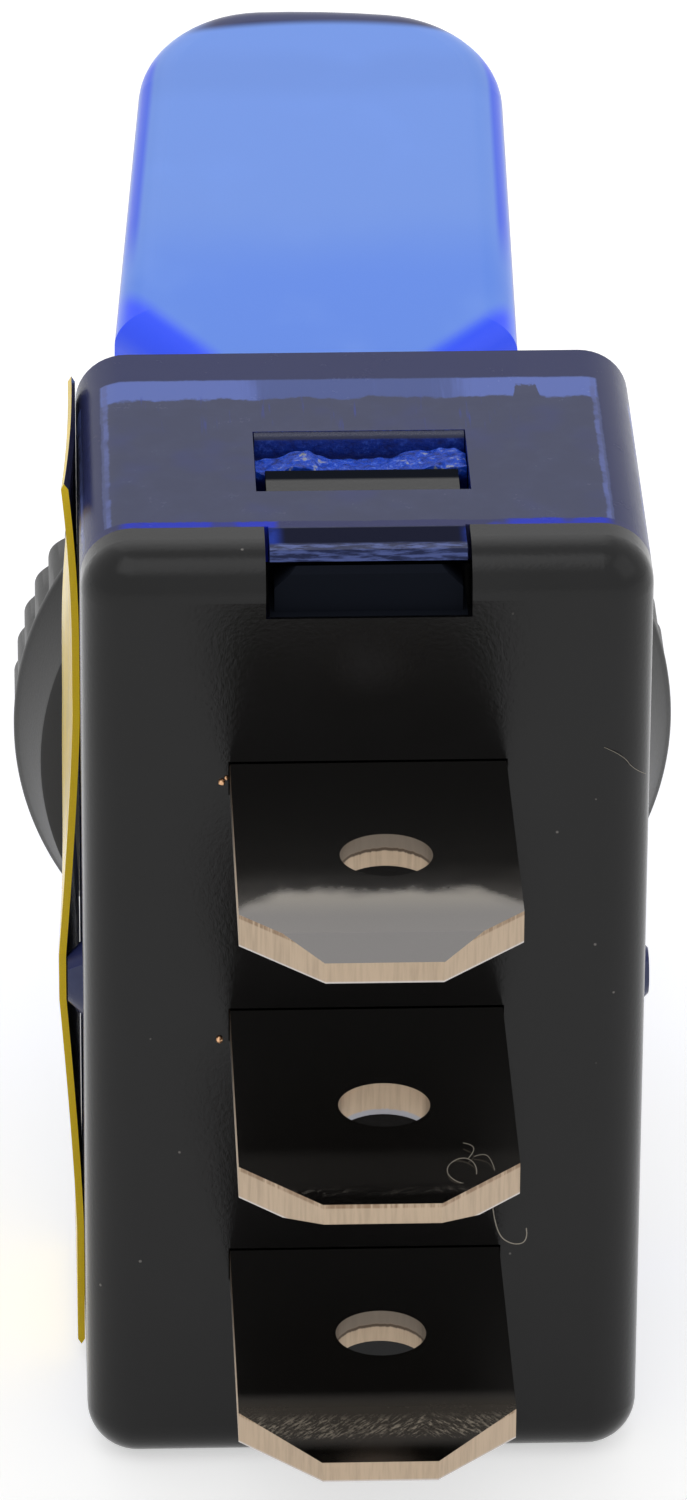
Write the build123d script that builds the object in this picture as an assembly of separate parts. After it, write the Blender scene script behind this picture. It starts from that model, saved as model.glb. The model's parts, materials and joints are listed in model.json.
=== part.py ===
"""Illuminated duckbill toggle switch, moulded two-piece case with blade terminals.

Frame: the origin is where the bushing's axis meets the case's mounting face.
+Y points out of the back, where the terminals are, and -Y out along the lever.
+Z is up along the case's long side. Every length is in millimetres.
"""
from build123d import *
import os
from math import atan2, cos, degrees, radians, sin

# --- case, overall -------------------------------------------------------
CASE_WIDTH = 13.1
CASE_LENGTH = 24.2
CASE_DEPTH = 11.5
CORNER_RADIUS = 1.2

# --- front housing, the translucent shell --------------------------------
FRONT_WALL = 1.2
SIDE_WALL = 0.8
END_WALL = 0.9
FRONT_EDGE_CHAMFER = 0.7
NUB_RADIUS = 0.9
NUB_TIP_RADIUS = 0.55
NUB_HEIGHT = 0.35
NUB_Y = 6.7
NUB_Z = -1.4

# --- bushing and panel nut -----------------------------------------------
BUSHING_RADIUS = 6.0
BUSHING_LENGTH = 9.5
BUSHING_BORE_RADIUS = 4.8
BUSHING_CHAMFER = 0.5
NUT_BACK_GAP = 1.45
NUT_RADIUS = 8.1
NUT_BACK_RADIUS = 7.49
NUT_CONE_HEIGHT = 1.9
NUT_RIM_HEIGHT = 2.85
NUT_FRONT_CHAMFER = 0.5
NUT_THREAD_GAP = 0.05

# --- rear base, the black insert -----------------------------------------
PLATE_THICKNESS = 1.7
REAR_EDGE_RADIUS = 1.1
SKIRT_WALL = 0.9
SKIRT_GAP = 0.1
SKIRT_FRONT_GAP = 0.9
STOP_WIDTH = 3.0
STOP_HEIGHT = 1.0
STOP_Z = -5.1
STOP_GAP = 0.1

# --- latches at both ends ------------------------------------------------
WINDOW_WIDTH = 4.95
WINDOW_FRONT = 6.6
WINDOW_REAR = 3.5
TOOTH_WIDTH = 4.46
TOOTH_LAND = 1.3
TOOTH_RAMP = 1.3
TOOTH_RISE = 0.85
LATCH_GAP = 0.05
ARM_SLIT_WIDTH = 0.4
ARM_ROOT = 0.6
NOTCH_WIDTH = 4.7
NOTCH_DEPTH = 1.5
TONGUE_WIDTH = 4.5
TONGUE_LENGTH = 1.2
TONGUE_TIP_THICKNESS = 0.3
RAMP_SIDE_GAP = 0.2
RAMP_OVERRUN = 0.15
RAMP_CHAMFER = 0.5

# --- blade terminals -----------------------------------------------------
TERMINAL_PITCH = 6.5
BLADE_WIDTH = 6.35
BLADE_THICKNESS = 0.8
BLADE_LENGTH = 9.5
BLADE_RISE_ANGLE = 2.1
BLADE_TIP_WIDTH = 2.65
BLADE_TIP_THICKNESS = 0.5
BLADE_HOLE_RADIUS = 1.05
BLADE_HOLE_OFFSET = 0.22
HOLE_FROM_ROOT = 4.8
LOWER_HOLE_FROM_ROOT = 4.1
LEAD_IN_LENGTH = 0.9
LOWER_LEAD_IN_LENGTH = 2.0
BLADE_SLOT_GAP = 0.03
FOOT_WIDTH = 8.4
FOOT_THICKNESS = 0.8
FOOT_REACH = 2.2
FOOT_END_GAP = 0.6

# --- contacts and rocker -------------------------------------------------
ROCKER_FROM_FOOT = 1.7
ROCKER_WIDTH = 4.2
ROCKER_THICKNESS = 0.6
ROCKER_WING = 6.1
ROCKER_SWING = 12.0
TRUNNION_RADIUS = 0.4
TRUNNION_GAP = 0.05
CRADLE_WALL = 0.5
CRADLE_SIDE_GAP = 0.1
CRADLE_HEIGHT = 2.4
CONTACT_RADIUS = 1.1
CONTACT_HEIGHT = 0.5
CONTACT_GAP = 0.1

# --- lever ---------------------------------------------------------------
PIVOT_INSET = 2.5
REST_TILT = 20.0
LEVER_REACH = 24.8
HUB_RADIUS = 4.3
HUB_HALF_WIDTH = 1.9
BOSS_RADIUS = 3.0
BOSS_HALF_WIDTH = 3.6
NECK_HALF_WIDTH = 2.9
NECK_HALF_HEIGHT = 1.7
PADDLE_START = 9.2
PADDLE_START_WIDTH = 5.2
WAIST_REACH = 10.8
WAIST_WIDTH = 7.2
SHOULDER_REACH = 12.2
SHOULDER_WIDTH = 10.2
TIP_WIDTH = 9.25
TIP_CROWN = 0.5
TIP_CORNER_RADIUS = 3.3
PADDLE_SKEW = -2.5
TIP_OFFSET = -0.22
PADDLE_BASE_HEIGHT = 4.3
PADDLE_TIP_HEIGHT = 2.9
PADDLE_EDGE_RADIUS = 0.9
TAIL_RADIUS = 2.3
TAIL_REACH = 6.6
PIN_RADIUS = 0.6
PIN_INSET = 0.4
PIN_RUNNING_GAP = 0.04
PIN_SEAT_GAP = 0.01

# --- plunger and its spring ----------------------------------------------
PLUNGER_RADIUS = 1.25
PLUNGER_GAP = 0.04
PLUNGER_HEAD_REACH = 8.15
PLUNGER_SHOULDER = 4.6
SPIGOT_RADIUS = 0.7
SPIGOT_LENGTH = 1.2
CHAMBER_FLOOR = 2.0
SPRING_WIRE = 0.24
SPRING_COIL_RADIUS = 1.0
SPRING_TURNS = 3

# --- lamp, resistor and wiring -------------------------------------------
LAMP_RADIUS = 1.0
LAMP_FLANGE_RADIUS = 1.25
LAMP_FLANGE_HEIGHT = 0.6
LAMP_REACH = 9.0
LAMP_LENGTH = 4.4
LAMP_BEVEL = 0.4
LAMP_GAP = 0.05
LAMP_CHAMBER_START = 2.2
RESISTOR_RADIUS = 0.8
RESISTOR_START = 3.6
RESISTOR_LENGTH = 2.8
LEAD_RADIUS = 0.2
LEAD_GAP = 0.05
LEAD_HEIGHT = 1.0
GROUND_LEAD_X = 1.4
GROUND_LEAD_BEND = 7.8
LAMP_PAD_X = 0.6
LAMP_PAD_HEIGHT = 0.4
RING_FRONT = 4.7
RING_LENGTH = 1.2
RING_INNER_RADIUS = 1.75
STRIP_THICKNESS = 0.25
STRIP_GAP = 0.1
STRIP_WIDTH = 1.4
STRIP_TAB = 1.4
STRIP_LEG_DROP = 2.1

# --- side label ----------------------------------------------------------
LABEL_THICKNESS = 0.15
LABEL_FRONT = 1.0
LABEL_REAR = 6.7
LABEL_TOP = 11.7
LABEL_BOTTOM = -11.6
LABEL_LIFT = 0.4

# --- sizes that follow from the ones above -------------------------------
HALF_WIDTH = CASE_WIDTH / 2
HALF_LENGTH = CASE_LENGTH / 2
PLATE_FRONT = CASE_DEPTH - PLATE_THICKNESS
SKIRT_FRONT = FRONT_WALL + SKIRT_FRONT_GAP
SKIRT_HALF_WIDTH = HALF_WIDTH - SIDE_WALL - SKIRT_GAP
SKIRT_HALF_LENGTH = HALF_LENGTH - END_WALL - SKIRT_GAP
FOOT_FRONT = PLATE_FRONT - FOOT_THICKNESS
ROCKER_Y = FOOT_FRONT - ROCKER_FROM_FOOT
ROCKER_BACK = ROCKER_Y + ROCKER_THICKNESS / 2
LOAD_Z = TERMINAL_PITCH
GROUND_Z = -TERMINAL_PITCH
GROUND_FOOT_LOW = FOOT_END_GAP + SKIRT_WALL - SKIRT_HALF_LENGTH
CONTACT_Z = LOAD_Z - BLADE_THICKNESS / 2 - CONTACT_RADIUS
PIVOT_Y = -PIVOT_INSET


def block(x_range, y_range, z_range):
    """Box between two limits on each axis."""
    sizes = [high - low for low, high in (x_range, y_range, z_range)]
    centre = [(high + low) / 2 for low, high in (x_range, y_range, z_range)]
    return Pos(*centre) * Box(*sizes)


def rod_along_y(radius, start, end, x=0, z=0):
    """Round rod parallel to Y between two Y positions."""
    return Pos(x, (start + end) / 2, z) * Rot(90, 0, 0) * Cylinder(radius, abs(end - start))


def rod_along_x(radius, half_length, y, z=0):
    """Round rod parallel to X, centred on X = 0."""
    return Pos(0, y, z) * Rot(0, 90, 0) * Cylinder(radius, 2 * half_length)


def side_prism(points, half_width):
    """Solid with a (Y, Z) outline, as wide as asked each side of X = 0."""
    outline = [(0, y, z) for y, z in points]
    face = make_face(Polyline(*outline, close=True))
    return extrude(face, half_width, dir=(1, 0, 0), both=True)


def round_prism(half_width, half_length, radius, start, end):
    """Rounded rectangle in XZ, extruded along Y."""
    plane = Plane(origin=(0, start, 0), x_dir=(1, 0, 0), z_dir=(0, 1, 0))
    outline = plane * RectangleRounded(2 * half_width, 2 * half_length, radius)
    return extrude(outline, end - start)


def edges_at_y(shape, y):
    """Edges of a shape that lie in the plane of one Y position."""
    return shape.edges().filter_by_position(Axis.Y, y - 0.001, y + 0.001)


def wire(points, radius):
    """Round wire through points, with a mitred corner at each bend."""
    path = Polyline(*points)
    section = Plane(origin=path @ 0, z_dir=path % 0) * Circle(radius)
    return sweep(section, path=path, transition=Transition.RIGHT)


def both_ends(shape):
    """A feature at the top end and its mirror at the bottom end."""
    return shape + mirror(shape, about=Plane.XY)


# --- front housing -------------------------------------------------------
def tongue():
    """Tapered tongue that enters the notch of the rear base."""
    end = PLATE_FRONT + TONGUE_LENGTH
    outline = [
        (PLATE_FRONT, HALF_LENGTH - END_WALL),
        (PLATE_FRONT, HALF_LENGTH),
        (end, HALF_LENGTH),
        (end, HALF_LENGTH - TONGUE_TIP_THICKNESS),
    ]
    return side_prism(outline, TONGUE_WIDTH / 2)


def bushing():
    """Round collar that passes through the panel, with a chamfered mouth."""
    collar = rod_along_y(BUSHING_RADIUS, -BUSHING_LENGTH, FRONT_WALL)
    return chamfer(edges_at_y(collar, -BUSHING_LENGTH), BUSHING_CHAMFER)


def side_nub(side):
    """Small tapered nub on one side wall."""
    cone = Cone(NUB_RADIUS, NUB_TIP_RADIUS, NUB_HEIGHT)
    x = side * (HALF_WIDTH + NUB_HEIGHT / 2)
    return Pos(x, NUB_Y, NUB_Z) * Rot(0, 90 * side, 0) * cone


def front_housing():
    """Shell with the bushing, latch windows, tongues and side nubs."""
    shell = round_prism(HALF_WIDTH, HALF_LENGTH, CORNER_RADIUS, 0, PLATE_FRONT)
    shell = chamfer(edges_at_y(shell, 0), FRONT_EDGE_CHAMFER)
    inner_radius = CORNER_RADIUS - SIDE_WALL
    shell -= round_prism(HALF_WIDTH - SIDE_WALL, HALF_LENGTH - END_WALL, inner_radius,
                         FRONT_WALL, PLATE_FRONT)
    shell += bushing()
    shell += both_ends(tongue())
    shell += side_nub(1) + side_nub(-1)
    window = block((-WINDOW_WIDTH / 2, WINDOW_WIDTH / 2),
                   (CASE_DEPTH - WINDOW_FRONT, CASE_DEPTH - WINDOW_REAR),
                   (HALF_LENGTH - 2 * END_WALL, HALF_LENGTH + END_WALL))
    shell -= both_ends(window)
    shell -= rod_along_y(BUSHING_BORE_RADIUS, -BUSHING_LENGTH, FRONT_WALL)
    shell -= rod_along_x(PIN_RADIUS + PIN_SEAT_GAP, BUSHING_RADIUS, PIVOT_Y)
    return shell


# --- rear base -----------------------------------------------------------
def latch_tooth():
    """Snap tooth on the arm: a ramp at the front and a land behind it."""
    back = CASE_DEPTH - WINDOW_REAR - LATCH_GAP
    outline = [
        (back, SKIRT_HALF_LENGTH),
        (back, SKIRT_HALF_LENGTH + TOOTH_RISE),
        (back - TOOTH_LAND, SKIRT_HALF_LENGTH + TOOTH_RISE),
        (back - TOOTH_LAND - TOOTH_RAMP, SKIRT_HALF_LENGTH),
    ]
    return side_prism(outline, TOOTH_WIDTH / 2)


def arm_slits():
    """Two slits that free the latch arm from the skirt's end wall."""
    inner = WINDOW_WIDTH / 2
    depth = (SKIRT_FRONT, PLATE_FRONT - ARM_ROOT)
    height = (SKIRT_HALF_LENGTH - 2 * SKIRT_WALL, SKIRT_HALF_LENGTH + SKIRT_WALL)
    right = block((inner, inner + ARM_SLIT_WIDTH), depth, height)
    return right + mirror(right, about=Plane.YZ)


def notch():
    """Cut in the plate's end for the housing's tongue."""
    return block((-NOTCH_WIDTH / 2, NOTCH_WIDTH / 2), (PLATE_FRONT, CASE_DEPTH),
                 (HALF_LENGTH - NOTCH_DEPTH, HALF_LENGTH + END_WALL))


def notch_ramp():
    """Sloped seat under the tongue, with bevelled corners."""
    floor = HALF_LENGTH - NOTCH_DEPTH
    tongue_end = PLATE_FRONT + TONGUE_LENGTH
    crest = HALF_LENGTH - TONGUE_TIP_THICKNESS - SKIRT_GAP
    outline = [
        (PLATE_FRONT, floor),
        (PLATE_FRONT, SKIRT_HALF_LENGTH),
        (tongue_end, crest),
        (tongue_end + RAMP_OVERRUN, crest - RAMP_OVERRUN),
        (tongue_end + RAMP_OVERRUN, floor),
    ]
    half = NOTCH_WIDTH / 2 - RAMP_SIDE_GAP
    bevelled = [
        (-half, PLATE_FRONT, floor),
        (-half, PLATE_FRONT, crest - RAMP_CHAMFER),
        (-half + RAMP_CHAMFER, PLATE_FRONT, crest),
        (half - RAMP_CHAMFER, PLATE_FRONT, crest),
        (half, PLATE_FRONT, crest - RAMP_CHAMFER),
        (half, PLATE_FRONT, floor),
    ]
    limits = extrude(make_face(Polyline(*bevelled, close=True)), PLATE_THICKNESS, dir=(0, 1, 0))
    return side_prism(outline, half) & limits


def rocker_stop():
    """Rib that the rocker's pressed wing rests on."""
    return block((-STOP_WIDTH / 2, STOP_WIDTH / 2), (ROCKER_BACK + STOP_GAP, PLATE_FRONT),
                 (STOP_Z - STOP_HEIGHT / 2, STOP_Z + STOP_HEIGHT / 2))


def blade_slot(z):
    """Opening through the plate for one blade."""
    half_width = BLADE_WIDTH / 2 + BLADE_SLOT_GAP
    half_height = BLADE_THICKNESS / 2 + BLADE_SLOT_GAP
    return block((-half_width, half_width), (PLATE_FRONT, CASE_DEPTH),
                 (z - half_height, z + half_height))


def rear_base():
    """Rear plate with a skirt inside the housing, latch arms and a stop."""
    base = round_prism(HALF_WIDTH, HALF_LENGTH, CORNER_RADIUS, PLATE_FRONT, CASE_DEPTH)
    base = fillet(edges_at_y(base, CASE_DEPTH), REAR_EDGE_RADIUS)
    radius = CORNER_RADIUS - SIDE_WALL
    base += round_prism(SKIRT_HALF_WIDTH, SKIRT_HALF_LENGTH, radius, SKIRT_FRONT, PLATE_FRONT)
    base -= block((SKIRT_WALL - SKIRT_HALF_WIDTH, SKIRT_HALF_WIDTH - SKIRT_WALL),
                  (SKIRT_FRONT, PLATE_FRONT),
                  (SKIRT_WALL - SKIRT_HALF_LENGTH, SKIRT_HALF_LENGTH - SKIRT_WALL))
    base -= both_ends(notch())
    base -= both_ends(arm_slits())
    base += both_ends(notch_ramp())
    base += both_ends(latch_tooth())
    base += rocker_stop()
    for z in (LOAD_Z, 0, GROUND_Z):
        base -= blade_slot(z)
    return base


# --- terminals -----------------------------------------------------------
def blade_point(along, across, z):
    """(Y, Z) of a point on a blade: along it from its root, across its middle."""
    rise = radians(BLADE_RISE_ANGLE)
    y = CASE_DEPTH + along * cos(rise) - across * sin(rise)
    return y, z + along * sin(rise) + across * cos(rise)


def blade_corner(side, z):
    """Wedge that cuts the 45 degree corner off one side of a blade's tip."""
    end = blade_point(BLADE_LENGTH, 0, z)[0]
    past = BLADE_THICKNESS
    bevel = (BLADE_WIDTH - BLADE_TIP_WIDTH) / 2
    triangle = [
        (side * (BLADE_WIDTH / 2 + past), end - bevel - past, z),
        (side * (BLADE_TIP_WIDTH / 2 - past), end + past, z),
        (side * (BLADE_WIDTH / 2 + past), end + past, z),
    ]
    face = make_face(Polyline(*triangle, close=True))
    return extrude(face, 2 * BLADE_THICKNESS, dir=(0, 0, 1), both=True)


def blade(z, lead_in_side, lead_in, hole_from_root):
    """Flat blade, straight through the plate and rising slightly outside it."""
    half = BLADE_THICKNESS / 2
    relief = BLADE_THICKNESS - BLADE_TIP_THICKNESS
    outline = [
        (FOOT_FRONT, z - lead_in_side * half),
        (CASE_DEPTH, z - lead_in_side * half),
        blade_point(BLADE_LENGTH, -lead_in_side * half, z),
        blade_point(BLADE_LENGTH, lead_in_side * (half - relief), z),
        blade_point(BLADE_LENGTH - lead_in, lead_in_side * half, z),
        (CASE_DEPTH, z + lead_in_side * half),
        (FOOT_FRONT, z + lead_in_side * half),
    ]
    shape = side_prism(outline, BLADE_WIDTH / 2)
    for side in (-1, 1):
        shape -= blade_corner(side, z)
    y, hole_z = blade_point(hole_from_root, 0, z)
    drill = Pos(-BLADE_HOLE_OFFSET, y, hole_z) * Rot(BLADE_RISE_ANGLE, 0, 0)
    return shape - drill * Cylinder(BLADE_HOLE_RADIUS, 2 * BLADE_THICKNESS)


def foot(z_low, z_high):
    """Broad foot that lies on the plate's inner face."""
    return block((-FOOT_WIDTH / 2, FOOT_WIDTH / 2), (FOOT_FRONT, PLATE_FRONT), (z_low, z_high))


def terminal_load():
    """Upper terminal; its foot carries the fixed contact."""
    half = BLADE_THICKNESS / 2
    shape = blade(LOAD_Z, 1, LEAD_IN_LENGTH, HOLE_FROM_ROOT)
    return shape + foot(LOAD_Z - half - FOOT_REACH, LOAD_Z + half)


def terminal_supply():
    """Middle terminal; its foot carries the rocker's cradle."""
    half = BLADE_THICKNESS / 2
    shape = blade(0, -1, LEAD_IN_LENGTH, HOLE_FROM_ROOT)
    return shape + foot(-half, half + FOOT_REACH)


def terminal_ground():
    """Lower terminal; its foot carries the lamp's ground strip."""
    half = BLADE_THICKNESS / 2
    shape = blade(GROUND_Z, 1, LOWER_LEAD_IN_LENGTH, LOWER_HOLE_FROM_ROOT)
    return shape + foot(GROUND_FOOT_LOW, GROUND_Z + half)


# --- contacts and rocker -------------------------------------------------
def contact_fixed():
    """Contact button on the load terminal's foot."""
    front = ROCKER_BACK + CONTACT_HEIGHT + CONTACT_GAP
    return rod_along_y(CONTACT_RADIUS, front, FOOT_FRONT, z=CONTACT_Z)


def rocker_cradle():
    """Bent metal saddle with two ears that hold the rocker's trunnions."""
    inner = ROCKER_WIDTH / 2 + CRADLE_SIDE_GAP
    outer = inner + CRADLE_WALL
    half = CRADLE_HEIGHT / 2
    ear_front = ROCKER_Y - TRUNNION_RADIUS - CRADLE_WALL / 2
    base = block((-outer, outer), (FOOT_FRONT - CRADLE_WALL, FOOT_FRONT), (-half, half))
    ear = block((inner, outer), (ear_front, FOOT_FRONT), (-half, half))
    saddle = base + ear + mirror(ear, about=Plane.YZ)
    return saddle - rod_along_x(TRUNNION_RADIUS + TRUNNION_GAP, outer, ROCKER_Y)


def rocker_rest(shape):
    """Turn a rocker piece from its closed place to its open place at rest."""
    return Pos(0, ROCKER_Y, 0) * Rot(ROCKER_SWING, 0, 0) * Pos(0, -ROCKER_Y, 0) * shape


def contact_rocker():
    """Seesaw strip, bent in the middle so that its pressed wing stands square."""
    half = ROCKER_THICKNESS / 2
    bend = radians(ROCKER_SWING)
    mitre = half * sin(bend / 2) / cos(bend / 2)
    low_y = ROCKER_Y - ROCKER_WING * sin(bend)
    low_z = -ROCKER_WING * cos(bend)
    outline = [
        (ROCKER_Y - half, ROCKER_WING),
        (ROCKER_Y + half, ROCKER_WING),
        (ROCKER_Y + half, -mitre),
        (low_y + half * cos(bend), low_z - half * sin(bend)),
        (low_y - half * cos(bend), low_z + half * sin(bend)),
        (ROCKER_Y - half, mitre),
    ]
    strip = side_prism(outline, ROCKER_WIDTH / 2)
    reach = ROCKER_WIDTH / 2 + CRADLE_SIDE_GAP + CRADLE_WALL
    strip += rod_along_x(TRUNNION_RADIUS, reach, ROCKER_Y)
    return rocker_rest(strip)


def contact_moving():
    """Contact button on the rocker's upper wing."""
    button = rod_along_y(CONTACT_RADIUS, ROCKER_BACK, ROCKER_BACK + CONTACT_HEIGHT, z=CONTACT_Z)
    return rocker_rest(button)


def ground_strip():
    """Bent spring strip from the ground foot to the side of the lever's tail."""
    inner = TAIL_RADIUS + STRIP_GAP
    outer = inner + STRIP_THICKNESS
    front = PIVOT_Y + RING_FRONT - STRIP_GAP
    leg = (GROUND_FOOT_LOW, GROUND_FOOT_LOW + STRIP_WIDTH)
    wiper = block((inner, outer), (front, front + STRIP_WIDTH), (leg[0], STRIP_LEG_DROP))
    rail = block((inner, outer), (front, FOOT_FRONT), leg)
    tab = block((inner, inner + STRIP_TAB), (FOOT_FRONT - STRIP_THICKNESS, FOOT_FRONT), leg)
    return wiper + rail + tab


# --- lever, drawn level with its pivot at the origin ----------------------
def lever_rest(shape):
    """Carry a lever piece to the pivot and tilt it up to its rest position."""
    return Pos(0, PIVOT_Y, 0) * Rot(-REST_TILT, 0, 0) * shape


def paddle_plan():
    """Duckbill outline: crowned tip, flared sides, shoulders that slope to the neck."""
    corner_y = TIP_CROWN - LEVER_REACH
    half_tip = TIP_WIDTH / 2
    half_shoulder = SHOULDER_WIDTH / 2
    crown = ThreePointArc((half_tip, corner_y, 0), (0, -LEVER_REACH, 0), (-half_tip, corner_y, 0))
    sides = Polyline(
        (half_tip, corner_y, 0),
        (half_shoulder, -SHOULDER_REACH, 0),
        (WAIST_WIDTH / 2, -WAIST_REACH, 0),
        (PADDLE_START_WIDTH / 2, -PADDLE_START, 0),
        (-PADDLE_START_WIDTH / 2, -PADDLE_START, 0),
        (-WAIST_WIDTH / 2, -WAIST_REACH, 0),
        (-half_shoulder, -SHOULDER_REACH, 0),
        (-half_tip, corner_y, 0),
    )
    plan = make_face([crown, sides])
    corners = plan.vertices().filter_by_position(Axis.Y, corner_y - 0.01, corner_y + 0.01)
    return fillet(corners, TIP_CORNER_RADIUS)


def paddle_half():
    """Upper half of the paddle, its walls square to its own sloping face."""
    tip_half = PADDLE_TIP_HEIGHT / 2
    fall = PADDLE_BASE_HEIGHT / 2 - tip_half
    slope = degrees(atan2(fall, LEVER_REACH - SHOULDER_REACH))
    slab = extrude(paddle_plan(), -PADDLE_BASE_HEIGHT)
    rim = slab.edges().filter_by_position(Axis.Z, -0.001, 0.001)
    rim = [edge for edge in rim if edge.center().Y < -PADDLE_START - 0.01]
    slab = fillet(rim, PADDLE_EDGE_RADIUS)
    sloped = Pos(0, -LEVER_REACH, tip_half) * Rot(slope, 0, 0) * Pos(0, LEVER_REACH, 0) * slab
    return sloped & block((-SHOULDER_WIDTH, SHOULDER_WIDTH), (-2 * LEVER_REACH, 0),
                          (0, PADDLE_BASE_HEIGHT))


def paddle():
    """Both halves of the paddle, standing slightly askew on the neck."""
    halves = paddle_half() + mirror(paddle_half(), about=Plane.XY)
    return Pos(TIP_OFFSET, -LEVER_REACH, 0) * Rot(0, 0, PADDLE_SKEW) * Pos(0, LEVER_REACH, 0) * halves


def hub():
    """Drum with a boss at each side, turned about the pin's axis to fill the bushing."""
    return rod_along_x(HUB_RADIUS, HUB_HALF_WIDTH, 0) + rod_along_x(BOSS_RADIUS, BOSS_HALF_WIDTH, 0)


def resistor_route():
    """Path of the lead from the resistor past the pin to the spring's chamber."""
    bend = RESISTOR_START - 2 * LEAD_RADIUS
    return [
        (0, -RESISTOR_START, 0),
        (0, -bend, 0),
        (0, -LAMP_CHAMBER_START - LEAD_RADIUS, LEAD_HEIGHT),
        (0, CHAMBER_FLOOR, LEAD_HEIGHT),
    ]


def ground_route():
    """Path of the lead from the lamp's base past the pin to the tail's ring."""
    return [
        (LAMP_PAD_X, -LAMP_REACH, -LAMP_PAD_HEIGHT),
        (LAMP_PAD_X, -LAMP_REACH + 2 * LEAD_RADIUS, -LAMP_PAD_HEIGHT),
        (GROUND_LEAD_X, -GROUND_LEAD_BEND, -LEAD_HEIGHT),
        (GROUND_LEAD_X, RING_FRONT, -LEAD_HEIGHT),
    ]


def lever_paddle():
    """Lever: paddle, flattened neck, drum in the bushing and hollow tail."""
    plane = Plane(origin=(0, 0, 0), x_dir=(1, 0, 0), z_dir=(0, -1, 0))
    neck = extrude(plane * SlotOverall(2 * NECK_HALF_WIDTH, 2 * NECK_HALF_HEIGHT), WAIST_REACH)
    lever = paddle() + neck + hub()
    lever += rod_along_y(TAIL_RADIUS, 0, TAIL_REACH)
    ring_seat = rod_along_y(TAIL_RADIUS + LEAD_GAP, RING_FRONT, RING_FRONT + RING_LENGTH)
    lever -= ring_seat - rod_along_y(RING_INNER_RADIUS, RING_FRONT, RING_FRONT + RING_LENGTH)
    lever -= rod_along_y(PLUNGER_RADIUS + PLUNGER_GAP, CHAMBER_FLOOR, TAIL_REACH)
    lever -= rod_along_x(PIN_RADIUS + PIN_RUNNING_GAP, BOSS_HALF_WIDTH, 0)
    lamp_end = LAMP_REACH + LAMP_FLANGE_HEIGHT
    lever -= rod_along_y(LAMP_FLANGE_RADIUS + LAMP_GAP, -lamp_end, -LAMP_CHAMBER_START)
    bore_end = LAMP_REACH + LAMP_LENGTH + LAMP_GAP
    lever -= rod_along_y(LAMP_RADIUS + LAMP_GAP, -bore_end, -lamp_end)
    lever -= wire(resistor_route()[1:], LEAD_RADIUS + LEAD_GAP)
    lever -= wire(ground_route(), LEAD_RADIUS + LEAD_GAP)
    return lever_rest(lever)


def led_lamp():
    """Small round lamp with a bevelled lens and a base flange."""
    end = LAMP_REACH + LAMP_LENGTH
    lamp = rod_along_y(LAMP_RADIUS, -end, -LAMP_REACH)
    lamp = chamfer(edges_at_y(lamp, -end), LAMP_BEVEL)
    lamp += rod_along_y(LAMP_FLANGE_RADIUS, -LAMP_REACH - LAMP_FLANGE_HEIGHT, -LAMP_REACH)
    return lever_rest(lamp)


def lamp_resistor():
    """Resistor body in line with the lamp."""
    end = RESISTOR_START + RESISTOR_LENGTH
    body = rod_along_y(RESISTOR_RADIUS, -end, -RESISTOR_START)
    return lever_rest(body)


def lamp_lead():
    """Straight lead between the lamp's base and the resistor."""
    start = RESISTOR_START + RESISTOR_LENGTH
    return lever_rest(rod_along_y(LEAD_RADIUS, -LAMP_REACH, -start))


def resistor_lead():
    """Bent lead from the resistor to the plunger's spring."""
    return lever_rest(wire(resistor_route(), LEAD_RADIUS))


def ground_lead():
    """Bent lead from the lamp's base to the contact ring."""
    return lever_rest(wire(ground_route(), LEAD_RADIUS))


def ground_ring():
    """Contact ring round the lever's tail."""
    end = RING_FRONT + RING_LENGTH
    ring = rod_along_y(TAIL_RADIUS, RING_FRONT, end) - rod_along_y(RING_INNER_RADIUS, RING_FRONT, end)
    return lever_rest(ring)


def plunger():
    """Round-nosed plunger that pushes the rocker over."""
    body = rod_along_y(PLUNGER_RADIUS, PLUNGER_SHOULDER, PLUNGER_HEAD_REACH)
    body += Pos(0, PLUNGER_HEAD_REACH, 0) * Sphere(PLUNGER_RADIUS)
    body += rod_along_y(SPIGOT_RADIUS, PLUNGER_SHOULDER - SPIGOT_LENGTH, PLUNGER_SHOULDER)
    return lever_rest(body)


def plunger_spring():
    """Square-wire coil spring between the chamber's floor and the plunger's shoulder."""
    length = PLUNGER_SHOULDER - CHAMBER_FLOOR - SPRING_WIRE
    path = Helix(length / SPRING_TURNS, length, SPRING_COIL_RADIUS)
    start = path @ 0
    section = Plane(origin=start, z_dir=path % 0) * Rectangle(SPRING_WIRE, SPRING_WIRE)
    coil = sweep(section, path=path)
    place = Pos(0, CHAMBER_FLOOR + SPRING_WIRE / 2, 0) * Rot(-90, 0, 0)
    return lever_rest(place * coil)


def pivot_pin():
    """Steel pin across the bushing that the lever turns on."""
    return rod_along_x(PIN_RADIUS, BUSHING_RADIUS - PIN_INSET, PIVOT_Y)


# --- pieces outside the case ---------------------------------------------
def panel_nut():
    """Round dress nut: a cone at the back and a straight rim in front."""
    bore = BUSHING_RADIUS + NUT_THREAD_GAP
    back = -NUT_BACK_GAP
    rim_back = back - NUT_CONE_HEIGHT
    front = rim_back - NUT_RIM_HEIGHT
    profile = Polyline(
        (bore, back, 0),
        (NUT_BACK_RADIUS, back, 0),
        (NUT_RADIUS, rim_back, 0),
        (NUT_RADIUS, front + NUT_FRONT_CHAMFER, 0),
        (NUT_RADIUS - NUT_FRONT_CHAMFER, front, 0),
        (bore, front, 0),
        close=True,
    )
    return revolve(make_face(profile), Axis.Y)


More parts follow.
